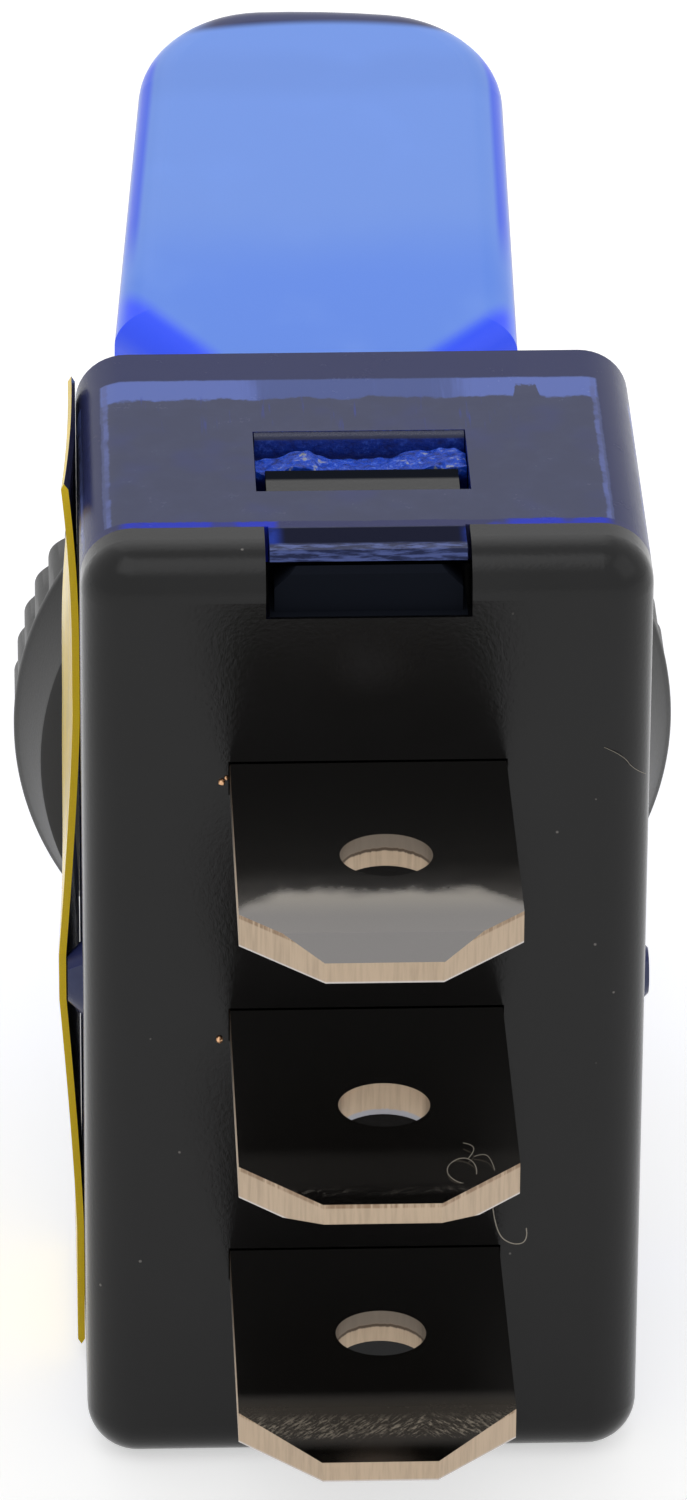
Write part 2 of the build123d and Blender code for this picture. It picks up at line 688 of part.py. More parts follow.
def side_label():
    """Thin label on the side wall, tented over the nub and flat at its ends."""
    inner = [
        (HALF_WIDTH, 0, LABEL_BOTTOM),
        (HALF_WIDTH + LABEL_LIFT, 0, NUB_Z),
        (HALF_WIDTH, 0, LABEL_TOP),
    ]
    outer = [(x + LABEL_THICKNESS, y, z) for x, y, z in inner]
    upright = [(0, 0, 1), (0, 0, 1)]
    edges = [
        Spline(*inner, tangents=upright),
        Line(inner[-1], outer[-1]),
        Spline(*outer, tangents=upright),
        Line(outer[0], inner[0]),
    ]
    sheet = extrude(make_face(edges), LABEL_REAR - LABEL_FRONT, dir=(0, 1, 0))
    return Pos(0, LABEL_FRONT, 0) * sheet


NODES = {
    "front_housing": front_housing,
    "rear_base": rear_base,
    "terminal_load": terminal_load,
    "terminal_supply": terminal_supply,
    "terminal_ground": terminal_ground,
    "contact_fixed": contact_fixed,
    "rocker_cradle": rocker_cradle,
    "contact_rocker": contact_rocker,
    "contact_moving": contact_moving,
    "ground_strip": ground_strip,
    "pivot_pin": pivot_pin,
    "lever_paddle": lever_paddle,
    "led_lamp": led_lamp,
    "lamp_resistor": lamp_resistor,
    "lamp_lead": lamp_lead,
    "resistor_lead": resistor_lead,
    "ground_lead": ground_lead,
    "ground_ring": ground_ring,
    "plunger": plunger,
    "plunger_spring": plunger_spring,
    "panel_nut": panel_nut,
    "side_label": side_label,
}

os.makedirs("parts", exist_ok=True)
for node, make in NODES.items():
    export_step(make(), f"parts/{node}.step")
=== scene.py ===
"""Dresses the duckbill toggle switch: finishes, knurled nut, label and small marks."""
import bmesh
import bpy
import json
import numpy as np
from bpy.props import FloatProperty, FloatVectorProperty, IntProperty, PointerProperty
from mathutils import Matrix, Vector


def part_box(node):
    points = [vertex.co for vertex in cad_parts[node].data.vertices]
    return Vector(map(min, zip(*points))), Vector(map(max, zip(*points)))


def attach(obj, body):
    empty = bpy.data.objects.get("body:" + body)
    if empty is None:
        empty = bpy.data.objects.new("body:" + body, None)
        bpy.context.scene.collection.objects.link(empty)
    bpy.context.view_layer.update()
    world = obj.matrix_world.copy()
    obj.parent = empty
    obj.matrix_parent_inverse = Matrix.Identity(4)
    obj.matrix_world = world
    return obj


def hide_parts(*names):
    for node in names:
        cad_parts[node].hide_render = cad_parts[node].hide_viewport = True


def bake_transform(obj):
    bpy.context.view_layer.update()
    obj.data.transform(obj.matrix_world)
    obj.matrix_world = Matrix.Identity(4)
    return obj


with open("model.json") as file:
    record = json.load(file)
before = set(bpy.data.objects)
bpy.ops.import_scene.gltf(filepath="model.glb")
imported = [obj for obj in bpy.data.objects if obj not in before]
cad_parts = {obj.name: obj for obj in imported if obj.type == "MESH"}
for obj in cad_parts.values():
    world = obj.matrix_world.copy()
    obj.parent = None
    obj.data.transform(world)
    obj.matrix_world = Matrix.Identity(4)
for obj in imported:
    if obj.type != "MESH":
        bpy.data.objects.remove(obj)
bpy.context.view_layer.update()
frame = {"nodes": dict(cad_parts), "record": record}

bl_info = {
    "name": "Duckbill Toggle Switch",
    "version": (1, 0, 0),
    "blender": (4, 5, 0),
    "location": "View3D > Sidebar > Toggle Switch",
    "description": "Builds the finishes and fine pieces of a duckbill toggle switch",
    "category": "Object",
}

MM = 0.001
BASE_LOW, BASE_HIGH = (np.array(corner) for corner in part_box("rear_base"))
HOUSING_LOW = np.array(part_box("front_housing")[0])
NUT_LOW, NUT_HIGH = (np.array(corner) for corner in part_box("panel_nut"))
LABEL_LOW, LABEL_HIGH = (np.array(corner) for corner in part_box("side_label"))
REAR_Y = BASE_HIGH[1]
SKIRT_Y = BASE_LOW[1]
SIDE_X = BASE_HIGH[0]
TOP_Z = BASE_HIGH[2]
FLOOR_Z = HOUSING_LOW[2]
PLATE_THICKNESS = 1.7 * MM
PLATE_Y = REAR_Y - PLATE_THICKNESS
TOP = TOP_Z / MM
REAR = REAR_Y / MM
MOUNTS = {mount["name"]: mount for mount in frame["record"]["mounts"]}
PIVOT = np.array(next(joint["pos_m"] for joint in frame["record"]["behaviour"]["joints"]
                      if joint["name"] == "lever_pivot"))
REST_TILT = np.radians(20.0)
SHARP_TURN = np.pi / 6
SAME_POINT = 1e-7
HAIRLINE = 0.005 * MM
FLOOR_HALF = 0.6
FLOOR_GLOW = 0.52
ROOM_LEVEL = 0.62


# --- sizes and colours that a user would change ---------------------------
def length(name, description, default):
    """A length property in metres."""
    return FloatProperty(name=name, description=description, default=default,
                         unit="LENGTH", subtype="DISTANCE", precision=5)


def colour(name, description, default):
    """A linear colour property."""
    return FloatVectorProperty(name=name, description=description, default=default,
                               size=3, subtype="COLOR", min=0.0, max=1.0)


class SwitchNutSettings(bpy.types.PropertyGroup):
    scallops: IntProperty(name="Scallops", description="Flutes round the nut's rim",
                          default=58, min=12)
    depth: length("Scallop depth", "How far the flutes cut into the rim", 0.16 * MM)
    cone: length("Cone height", "Height of the plain cone behind the rim", 1.9 * MM)
    back_radius: length("Back radius", "Radius at the cone's back edge", 7.49 * MM)
    bore: length("Bore radius", "Radius of the threaded bore", 6.05 * MM)
    chamfer: length("Front chamfer", "Bevel round the nut's front edge", 0.5 * MM)
    soft: length("Edge softness", "Rounding at the nut's corners", 0.12 * MM)


class SwitchCaseSettings(bpy.types.PropertyGroup):
    side_wall: length("Side wall", "Thickness of the clear housing's side walls", 0.8 * MM)
    front_wall: length("Front wall", "Thickness of the clear housing's front wall", 1.2 * MM)
    bushing_radius: length("Bushing radius", "Radius over the thread's crests", 6.0 * MM)
    thread_pitch: length("Thread pitch", "Distance from one turn to the next", 0.8 * MM)
    thread_depth: length("Thread depth", "From crest to root", 0.38 * MM)
    thread_back: length("Plain length", "Bushing left plain behind the thread", 3.6 * MM)
    mouth_chamfer: length("Mouth chamfer", "Bevel at the bushing's mouth", 0.5 * MM)
    window_front: length("Window front", "Front edge of the latch window, from the rear face",
                         6.6 * MM)
    window_width: length("Window width", "Width of the latch window", 4.95 * MM)
    flash_reach: length("Flash reach", "How far the rough flash runs back", 1.62 * MM)


class SwitchLabelSettings(bpy.types.PropertyGroup):
    thickness: length("Thickness", "Thickness of the film", 0.17 * MM)
    tent: length("Tent", "How far the film stands off at the nub", 0.42 * MM)
    tent_z: length("Tent height", "Height of the nub under the film", -1.4 * MM)
    tent_reach: length("Tent reach", "Length of film that the nub lifts, each way", 7.0 * MM)
    curl: length("Curl", "How far the top end stands off", 0.24 * MM)
    curl_reach: length("Curl reach", "Length of the lifted top end", 4.4 * MM)
    flare: length("Flare", "How far the front edge stands off", 0.20 * MM)
    flare_z: length("Flare height", "Height of the flare's middle", 3.4 * MM)
    flare_reach: length("Flare reach", "Half length of the flare", 4.2 * MM)


class SwitchColourSettings(bpy.types.PropertyGroup):
    # painted light: backed is the blue painted darker with the black base seen through it, lit the
    # blue painted lighter with light coming through a gap behind it
    wall: colour("Housing walls", "Clear blue plastic seen along a wall", (0.030, 0.037, 0.125))
    backed: colour("Housing over black", "Clear blue plastic with the black base behind it",
                   (0.060, 0.069, 0.140))
    lit: colour("Housing over a gap", "Clear blue plastic with light behind it",
                (0.13, 0.19, 0.56))
    # painted light: the saturated blue at the housing's cut edges is the glow of light coming
    # through them
    edge_glow: colour("Housing, deep", "Saturated blue at cut edges", (0.008, 0.03, 0.60))
    lever: colour("Lever", "Light blue plastic", (0.19, 0.355, 0.86))
    # painted light: the saturated blue at the lever's edges is the glow of light coming through
    # them
    lever_edge_glow: colour("Lever edge", "Saturated blue at the lever's edges", (0.035, 0.10, 0.90))
    black: colour("Black", "Black moulding", (0.0012, 0.0012, 0.0014))
    tin: colour("Tin", "Tin plate on the blades", (0.23, 0.215, 0.20))
    cut: colour("Sheared edge", "Edges where the blades were cut", (0.55, 0.425, 0.305))
    yellow: colour("Label", "Yellow film", (1.0, 0.69, 0.008))


class SwitchStageSettings(bpy.types.PropertyGroup):
    distance: length("Camera distance", "From the case to the camera", 223.27 * MM)
    azimuth: FloatProperty(name="Azimuth",
                           description="Camera angle round the case, from the back",
                           default=np.radians(2.274), subtype="ANGLE")
    elevation: FloatProperty(name="Elevation", description="Camera angle above the horizon",
                             default=np.radians(28.117), subtype="ANGLE")
    roll: FloatProperty(name="Roll", description="Camera turn about its own axis",
                        default=np.radians(0.355), subtype="ANGLE")
    aim_right: length("Aim right", "Camera's sideways offset from the rear face's middle",
                      -0.529 * MM)
    aim_up: length("Aim up", "Camera's upward offset from the rear face's middle", 6.347 * MM)
    lens: FloatProperty(name="Focal length", description="Camera focal length in millimetres",
                        default=230.33, min=1.0)


# --- shader expressions ----------------------------------------------------
class Signal:
    """A shader socket that can be used in sums, products and powers."""

    def __init__(self, board, socket):
        self.board = board
        self.socket = socket

    def _math(self, operation, first, second):
        return self.board.node("ShaderNodeMath", {"operation": operation}, {0: first, 1: second})

    def __add__(self, other):
        return self._math("ADD", self, other)

    def __radd__(self, other):
        return self._math("ADD", other, self)

    def __sub__(self, other):
        return self._math("SUBTRACT", self, other)

    def __rsub__(self, other):
        return self._math("SUBTRACT", other, self)

    def __mul__(self, other):
        return self._math("MULTIPLY", self, other)

    def __rmul__(self, other):
        return self._math("MULTIPLY", other, self)

    def __pow__(self, other):
        return self._math("POWER", self, other)

    def largest(self, other):
        return self._math("MAXIMUM", self, other)

    def size(self):
        return self.board.node("ShaderNodeMath", {"operation": "ABSOLUTE"}, {0: self})

    def ramp(self, low, high):
        """0 below low, 1 above high, smooth between them."""
        return self.board.node("ShaderNodeMapRange", {"interpolation_type": "SMOOTHSTEP"},
                               {"Value": self, "From Min": low, "From Max": high})

    def band(self, low, high, soft):
        """1 between low and high, 0 outside, with soft edges."""
        return self.ramp(low - soft, low + soft) * (1 - self.ramp(high - soft, high + soft))


class Board:
    """One material's node tree."""

    def __init__(self, name):
        self.material = bpy.data.materials.new(name)
        self.material.use_nodes = True
        self.tree = self.material.node_tree
        self.tree.nodes.clear()

    @classmethod
    def of(cls, tree):
        """Board over an existing tree, cleared."""
        board = cls.__new__(cls)
        board.tree = tree
        tree.nodes.clear()
        return board

    def node(self, kind, settings=None, inputs=None, output=0):
        """Adds a node: its settings first, then values or links for its sockets."""
        node = self.tree.nodes.new(kind)
        for name, value in (settings or {}).items():
            setattr(node, name, value)
        for key, value in (inputs or {}).items():
            self.feed(node.inputs[key], value)
        return Signal(self, node.outputs[output])

    def feed(self, socket, value):
        if isinstance(value, Signal):
            self.tree.links.new(value.socket, socket)
        elif isinstance(value, tuple) and len(value) == 3 and socket.type == "RGBA":
            socket.default_value = (*value, 1.0)
        else:
            socket.default_value = value

    def place(self):
        """X, Y and Z on the piece, in millimetres."""
        point = self.node("ShaderNodeTexCoord", output=3)
        scaled = self.node("ShaderNodeVectorMath", {"operation": "SCALE"},
                           {0: point, "Scale": 1 / MM})
        return self.split(scaled), scaled

    def facing(self):
        """X, Y and Z of the surface's own direction."""
        return self.split(self.node("ShaderNodeNewGeometry", output=1))

    def split(self, vector):
        """The three parts of a vector."""
        return [self.node("ShaderNodeSeparateXYZ", {}, {0: vector}, axis) for axis in range(3)]

    def noise(self, place, scale, detail=3.0, rough=0.5):
        return self.node("ShaderNodeTexNoise", {},
                         {"Vector": place, "Scale": scale, "Detail": detail, "Roughness": rough})

    def stretch(self, place, x, y, z):
        return self.node("ShaderNodeVectorMath", {"operation": "MULTIPLY"},
                         {0: place, 1: (x, y, z)})

    def turned(self, place, angle):
        """The place turned about Z."""
        return self.node("ShaderNodeVectorRotate", {"rotation_type": "Z_AXIS"},
                         {"Vector": place, "Angle": angle})

    def spots(self, place, scale, size):
        """1 inside small round spots scattered through space, 0 between them."""
        nearest = self.node("ShaderNodeTexVoronoi", {"feature": "F1"},
                            {"Vector": place, "Scale": scale})
        return 1 - nearest.ramp(size * 0.6, size)

    def seen(self):
        """1 for rays from the camera, from reflections and through clear plastic."""
        rays = [self.node("ShaderNodeLightPath", output=number) for number in (0, 3, 6)]
        return rays[0].largest(rays[1]).largest(rays[2])

    def grey(self, level):
        return self.node("ShaderNodeCombineColor", {}, {0: level, 1: level, 2: level})

    def mix(self, low, high, factor):
        return self.node("ShaderNodeMix", {"data_type": "RGBA"}, {0: factor, 6: low, 7: high}, 2)

    def bump(self, height, strength, distance):
        return self.node("ShaderNodeBump", {},
                         {"Height": height, "Strength": strength, "Distance": distance})

    def finish(self, painted_shade=None, shade=(0.0, 0.0, 0.0), **sockets):
        """Principled surface: each keyword is a socket's name with _ for a space.

        Where the first argument is 1 the surface is a plain matt shade instead: painted shade,
        without reflection.
        """
        inputs = {name.replace("_", " "): value for name, value in sockets.items()}
        surface = self.node("ShaderNodeBsdfPrincipled", {}, inputs)
        if painted_shade is not None:
            matt = self.node("ShaderNodeBsdfDiffuse", {}, {"Color": shade})
            surface = self.node("ShaderNodeMixShader", {}, {0: painted_shade, 1: surface, 2: matt})
        self.node_output(surface)
        return self.material

    def node_output(self, surface):
        output = self.tree.nodes.new("ShaderNodeOutputMaterial")
        self.tree.links.new(surface.socket, output.inputs["Surface"])


# --- mesh helpers ------------------------------------------------------------
def grid_mesh(name, points, close_rows=False, close_columns=False):
    """Mesh of a grid of points; a row or column closes on itself where asked.

    Each face joins point (i, j) to (i + 1, j), (i + 1, j + 1) and (i, j + 1). A face
    winds so that the volume under all of them, a third of the sum of centre times
    area normal, is positive, so a closed grid faces outward. Points that coincide,
    as round a pole, are merged.
    """
    rows, columns = points.shape[:2]
    index = np.arange(rows * columns).reshape(rows, columns)
    if close_rows:
        index = np.concatenate([index, index[:1]], axis=0)
    if close_columns:
        index = np.concatenate([index, index[:, :1]], axis=1)
    faces = np.stack([index[:-1, :-1], index[1:, :-1], index[1:, 1:], index[:-1, 1:]], axis=-1)
    faces = faces.reshape(-1, 4)
    flat = points.reshape(-1, 3)
    corners = flat[faces]
    area = np.cross(corners[:, 2] - corners[:, 0], corners[:, 3] - corners[:, 1])
    if np.sum(corners.mean(axis=1) * area) < 0:
        faces = faces[:, ::-1]
    mesh = bpy.data.meshes.new(name)
    mesh.from_pydata(flat.tolist(), [], faces.tolist())
    merge_points(mesh)
    return mesh


def merge_points(mesh):
    """Merges points that coincide, drops the faces that this leaves empty and marks
    edges that turn by more than SHARP_TURN as sharp."""
    work = bmesh.new()
    work.from_mesh(mesh)
    bmesh.ops.remove_doubles(work, verts=work.verts, dist=SAME_POINT)
    for edge in work.edges:
        edge.smooth = edge.calc_face_angle(0.0) < SHARP_TURN
    work.to_mesh(mesh)
    work.free()
    mesh.update()


def piece(name, mesh, material, body, smooth=True):
    """Links a finished mesh as a piece that rides on a body, or on none yet."""
    obj = bpy.data.objects.new(name, mesh)
    bpy.context.scene.collection.objects.link(obj)
    mesh.materials.clear()
    mesh.materials.append(material)
    mesh.polygons.foreach_set("use_smooth", [smooth] * len(mesh.polygons))
    if body is not None:
        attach(obj, body)
    return obj


def strand_points(path, radius, sides=7):
    """Thin strand along a path: each ring is a circle square to the path, and the
    first and last rings shrink to a point."""
    tangent = np.gradient(path, axis=0)
    tangent /= np.linalg.norm(tangent, axis=1, keepdims=True)
    side = np.cross(tangent, (0.31, 0.17, 0.93))
    side /= np.linalg.norm(side, axis=1, keepdims=True)
    other = np.cross(tangent, side)
    angle = np.linspace(0, 2 * np.pi, sides, endpoint=False)
    cosine, sine = np.cos(angle)[None, :, None], np.sin(angle)[None, :, None]
    ring = cosine * side[:, None] + sine * other[:, None]
    radii = np.full(len(path), radius)
    radii[[0, -1]] = 0.0
    return path[:, None] + ring * radii[:, None, None]


def rounded_path(corners, count=40):
    """Smooth path through a few corners: a quadratic B-spline with clamped ends,
    whose runs blend each corner with its neighbours' middles."""
    corners = np.array(corners, dtype=float)
    middles = (corners[1:] + corners[:-1]) / 2
    starts = np.concatenate([corners[:1], middles[1:]])
    bends = corners[1:-1]
    ends = np.concatenate([middles[1:-1], corners[-1:]])
    step = np.linspace(0, 1, count)[None, :, None]
    runs = ((1 - step) ** 2 * starts[:len(bends), None] + 2 * step * (1 - step) * bends[:, None]
            + step ** 2 * ends[:, None])
    return np.concatenate([runs[:, :-1].reshape(-1, 3), corners[-1:]])


def ripple(first, second, seed):
    """Smooth pseudo-random height over two coordinates in millimetres: a sum of
    twelve sine waves whose directions, lengths and phases come from a seeded draw."""
    draw = np.random.default_rng(seed)
    angle, phase = draw.uniform(0, 2 * np.pi, (2, 12))
    pace = draw.uniform(2.5, 11.0, 12)
    wave = np.sin(first[..., None] * pace * np.cos(angle)
                  + second[..., None] * pace * np.sin(angle) + phase)
    return (wave / np.sqrt(pace)).sum(axis=-1) / np.sum(1 / np.sqrt(pace))


def finish_node(node, material):
    """Gives a CAD node one material."""
    slots = frame["nodes"][node].data.materials
    if len(slots) == 0:
        slots.append(material)
    for number in range(len(slots)):
        slots[number] = material


def settings():
    """The scene, which holds the property groups."""
    return bpy.context.scene


def shaded(tone, share):
    """The tone with each channel times a share."""
    return tuple(share * value for value in tone)


# --- materials -----------------------------------------------------------------
def black_plastic(name, roughness=0.10, sheen=0.32, dust=True):
    """Glossy black moulding with a fine grain and a few specks of dust; the recess
    round the tongue and the tooth's front bevel are painted shade, a dark matt surface."""
    board = Board(name)
    (x, y, z), place = board.place()
    grain = board.noise(place, 11.0, 4.0, 0.65)
    cloud = board.noise(place, 0.45, 3.0)
    black = tuple(settings().switch_colours.black)
    tone = board.mix(black, shaded(black, 2.0), cloud.ramp(0.35, 0.7))
    painted_shade = None
    if dust:
        specks = board.spots(place, 0.9, 0.04)
        tone = board.mix(tone, (0.16, 0.15, 0.14), specks)
        # painted shade: a dark matt surface in the recess round the tongue and on the tooth's
        # front bevel
        behind = y - REAR
        recess = behind.band(-PLATE_THICKNESS / MM, -0.1, 0.04) * z.ramp(8.2, 8.4)
        recess = recess * (1 - x.size().ramp(2.24, 2.28))
        bevel = behind.band(-5.15, -4.38, 0.08) * z.ramp(TOP - 1.0, TOP - 0.9)
        painted_shade = recess.largest(bevel)
    return board.finish(
        painted_shade, (0.010, 0.012, 0.018),
        Base_Color=tone,
        Roughness=roughness + 0.09 * grain + 0.06 * cloud,
        Specular_IOR_Level=sheen,
        Normal=board.bump(grain, 0.14, 0.00004),
    )


def housing_plastic(case):
    """Clear dark blue plastic, toned by what stands behind each stretch of wall: the light
    and shade seen through it are painted in.

    Over the black skirt it is a painted slate blue, over the gap in front of the skirt it
    is painted lit, along its side walls and front wall it is dark, and the tongue over the
    recess is painted shade. Its rear rim, the tongue's end and the inside of the latch
    window are the blue of a cut edge, painted as a saturated glow of light coming through.
    """
    board = Board("clear_blue")
    (x, y, z), place = board.place()
    face_z = board.facing()[2]
    colours = settings().switch_colours
    wall, backed, lit, edge_glow = (tuple(tone) for tone in (colours.wall, colours.backed,
                                                        colours.lit, colours.edge_glow))
    grain = board.noise(place, 9.0, 4.0, 0.7)
    drift = board.noise(place, 1.3, 3.0, 0.6)
    patch = board.noise(place, 0.7, 2.0, 0.5)
    scratch = board.noise(board.stretch(place, 5.0, 0.3, 5.0), 1.0, 3.0, 0.6)
    inner_x = (SIDE_X - case.side_wall) / MM + 0.1
    front, skirt, plate = (value / MM for value in (case.front_wall, SKIRT_Y, PLATE_Y))
    ends = face_z.size().ramp(0.45, 0.55)
    across = ends * (x - 0.15).size() + (1 - ends) * (z.size() - (TOP_Z - SIDE_X) / MM)
    wobble = 0.10 * (drift - 0.5) + 0.05 * (grain - 0.5)
    within = 1 - (across + wobble).ramp(inner_x - 0.06, inner_x + 0.02)
    burr = x.band(-4.28, -3.73, 0.05) * (0.62 + 0.8 * (grain - 0.5))
    edge = skirt + 1.05 + 0.6 * (drift - 0.5) + 0.15 * (grain - 0.5) - burr
    behind = within * (y - edge).ramp(-0.05, 0.08)
    gap = within * (y + wobble).ramp(front + 0.90, front + 1.0)
    # painted light: a lighter blue strip just inside each side wall, where its inner face catches
    # the light
    inner_wall_light = (across + 1.5 * wobble).band(inner_x - 0.17, inner_x - 0.05, 0.03)
    inner_wall_light = inner_wall_light * y.ramp(front + 0.9, front + 1.0)
    middle = 1 - x.size().ramp(1.6, 3.2)
    # painted see-through light and shade: slate where the black skirt shows through the wall, and
    # the lit glow where the gap in front of it lets light through
    slate = board.mix(backed, shaded(backed, 1.12), drift.ramp(0.4, 0.75))
    slate = board.mix(slate, (0.056, 0.067, 0.20), patch.ramp(0.5, 0.75) * 0.5)
    glow = board.mix(lit, shaded(lit, 0.62), (middle + scratch - 0.5).ramp(0.2, 0.9))
    tone = board.mix(wall, glow, gap)
    tone = board.mix(tone, slate, behind)
    tone = board.mix(tone, (0.12, 0.155, 0.42), inner_wall_light * (0.4 + 0.6 * drift.ramp(0.35, 0.6)))
    streak = scratch.ramp(0.60, 0.72) * within * (1 - y.ramp(4.0, 5.6)) * y.ramp(2.9, 3.2)
    tone = board.mix(tone, (0.045, 0.07, 0.42), streak * 0.55)
    line = (y + 1.6 * wobble).band(plate - 0.26, plate + 0.06, 0.04)
    broken = patch.ramp(0.36, 0.5) * (1 - x.size().ramp(5.4, 5.75))
    tone = board.mix(tone, (0.035, 0.04, 0.14), line)
    # painted highlight: the saturated blue on broken stretches of the rear rim's line
    rear_edge_glow = broken * (x + 0.35).size().ramp(2.3, 2.5) * line
    tone = board.mix(tone, edge_glow, rear_edge_glow)
    # painted shade: the tongue, over the recess, is near black
    tongue = y.ramp(plate + 0.03, plate + 0.12)
    tone = board.mix(tone, (0.010, 0.012, 0.032), tongue)
    # painted glow: blue light along the tongue's sides
    sides = (x + 0.1).size().ramp(1.95, 2.3) * tongue * drift.ramp(0.3, 0.6)
    tone = board.mix(tone, (0.03, 0.07, 0.5), sides * 0.7)
    # the tongue's end: its streaks are its torn surface, its bright blue is painted light coming
    # through the end
    streaky = board.noise(board.stretch(place, 1.2, 6.0, 9.0), 1.0, 4.0, 0.65)
    tail = (y + 0.1 * (drift - 0.5)).ramp(REAR - 0.88, REAR - 0.72)
    torn_end_glow = board.mix((0.025, 0.034, 0.10), (0.11, 0.15, 0.40), streaky.ramp(0.42, 0.6))
    tone = board.mix(tone, torn_end_glow, tongue * tail)
    half_window = case.window_width / MM / 2
    # painted light: saturated blue with painted glints on the latch window's inside walls, where
    # light comes through the cut
    niche = (1 - face_z.size().ramp(0.3, 0.5)) * z.size().ramp(TOP - 1.1, TOP - 1.0)
    niche = niche * (1 - x.size().ramp(half_window + 0.02, half_window + 0.1))
    niche = niche * (1 - y.ramp(plate - 0.1, plate))
    sparkle = board.mix((0.008, 0.02, 0.20), (0.03, 0.09, 0.62), grain.ramp(0.5, 0.7))
    tone = board.mix(tone, sparkle, niche)
    bushing = 1 - y.ramp(-0.15, 0.0)
    tone = board.mix(tone, (0.012, 0.024, 0.16), bushing)
    # painted shade: over the tongue, but not its end, the surface is mostly a matt copy of its
    # tone, without reflection
    return board.finish(
        tongue * (1 - tail) * 0.85, tone,
        Base_Color=tone,
        Roughness=0.16 + 0.12 * drift + 0.06 * grain,
        Alpha=0.95,
        Specular_IOR_Level=0.10,
        Normal=board.bump(drift * 0.5 + grain * 0.3 + scratch * 0.2, 0.10, 0.00005),
    )


def flash_plastic():
    """Torn clear blue plastic with painted light and shade: slate at the surface, painted
    navy shade in its hollows, painted bright light on its crests, with whitish specks where it
    stands high."""
    board = Board("torn_blue")
    (_, y, z), place = board.place()
    torn = board.noise(board.stretch(place, 1.0, 1.4, 1.4), 3.4, 6.0, 0.75)
    fine = board.noise(place, 12.0, 3.0, 0.6)
    # painted shade and light: navy in the hollows, saturated blue where the lip rises, brighter
    # blue on its crests
    rise = (z + 0.16 * (torn - 0.5)).ramp(TOP - 0.52, TOP - 0.30)
    rise = rise * (0.25 + 0.75 * (y - REAR + 6.15).ramp(0.0, 0.1))
    tone = board.mix((0.005, 0.012, 0.11), (0.012, 0.075, 0.62), rise * torn.ramp(0.3, 0.55))
    tone = board.mix(tone, (0.09, 0.20, 0.85),
                     rise * fine.ramp(0.52, 0.62) * torn.ramp(0.45, 0.6))
    shelf = (y - REAR + 6.1).ramp(0.0, 0.1)
    high = (z + 0.1 * (fine - 0.5)).ramp(TOP - 0.29, TOP - 0.2) * torn.ramp(0.56, 0.64)
    tone = board.mix(tone, (0.36, 0.38, 0.44), high * shelf)
    # painted see-through shade: the slate of the housing over black, at the flush top
    tone = board.mix(tone, shaded(settings().switch_colours.backed, 0.6),
                     z.ramp(TOP - 0.1, TOP - 0.05))
    return board.finish(Base_Color=tone, Roughness=0.18 + 0.2 * fine, Specular_IOR_Level=0.12,
                        Normal=board.bump(torn + fine * 0.5, 0.4, 0.00008))


def lever_plastic():
    """Light blue plastic with the light that passes through it painted in: painted
    saturated blue along its rounded rims and at its shoulders, a painted lilac sheen where the
    rims turn away, a painted blue glow, and dark in a band inside the tip's edge."""
    board = Board("frosted_blue")
    (x, y, z), place = board.place()
    face_x, _, face_z = board.facing()
    colours = settings().switch_colours
    light, edge_glow = tuple(colours.lever), tuple(colours.lever_edge_glow)
    lean_y, lean_z = float(np.cos(REST_TILT)), float(np.sin(REST_TILT))
    pivot_y = float(PIVOT[1]) / MM
    reach = (pivot_y - y) * lean_y + z * lean_z
    speckle = board.noise(place, 12.0, 3.0, 0.7)
    drift = board.noise(place, 0.35, 2.0)
    turn = face_x.size()
    side = x + 0.22 - (24.8 - reach) * 0.0436
    # painted light: saturated blue along the rounded rims and at the shoulders, where light comes
    # through the plastic's edges
    rim = turn.band(0.60, 0.93, 0.10) * reach.ramp(14.2, 16.5) * (1 - reach.ramp(22.2, 23.2))
    shoulder = (side.size() + 0.06 * side + 12.3 - reach).ramp(3.5, 4.3)
    shoulder = shoulder * (1 - turn.ramp(0.6, 0.9) * 0.5)
    # painted sheen: pale lilac where the rims turn away
    lilac = turn.ramp(0.93, 0.99)
    low = tuple(value * share for value, share in zip(light, (0.72, 0.84, 1.03)))
    tone = board.mix(light, low,
                     1 - (reach + 1.2 * (drift - 0.5)).ramp(13.5, 16.8))
    tone = board.mix(tone, shaded(light, 1.08), drift.ramp(0.5, 0.8) * 0.5)
    tone = board.mix(tone, shaded(light, 0.9), (reach + drift).band(21.6, 23.0, 0.5) * 0.6)
    tone = board.mix(tone, edge_glow, (rim * 0.85).largest(shoulder))
    tone = board.mix(tone, (0.22, 0.21, 0.55), lilac * 0.75)
    edge = reach + 0.026 * side * side
    band = edge.band(23.82, 24.6, 0.16) * (1 - side.size().ramp(2.7, 3.9)) * face_z.ramp(0.0, 0.3)
    tone = board.mix(tone, (0.012, 0.022, 0.12), band)
    # painted glow: blue emission, strongest at the shoulders, though the lever is no lamp
    glow = board.mix((0.0, 0.012, 0.10), (0.0, 0.012, 0.30), shoulder)
    glow = board.mix(glow, (0.0, 0.0, 0.0), band.largest(lilac))
    return board.finish(
        Base_Color=tone,
        Roughness=0.26 + 0.10 * speckle,
        Specular_IOR_Level=0.35,
        Coat_Weight=0.10,
        Coat_Roughness=0.15,
        Emission_Color=glow,
        Emission_Strength=1.0,
        Normal=board.bump(speckle, 0.05, 0.00003),
    )


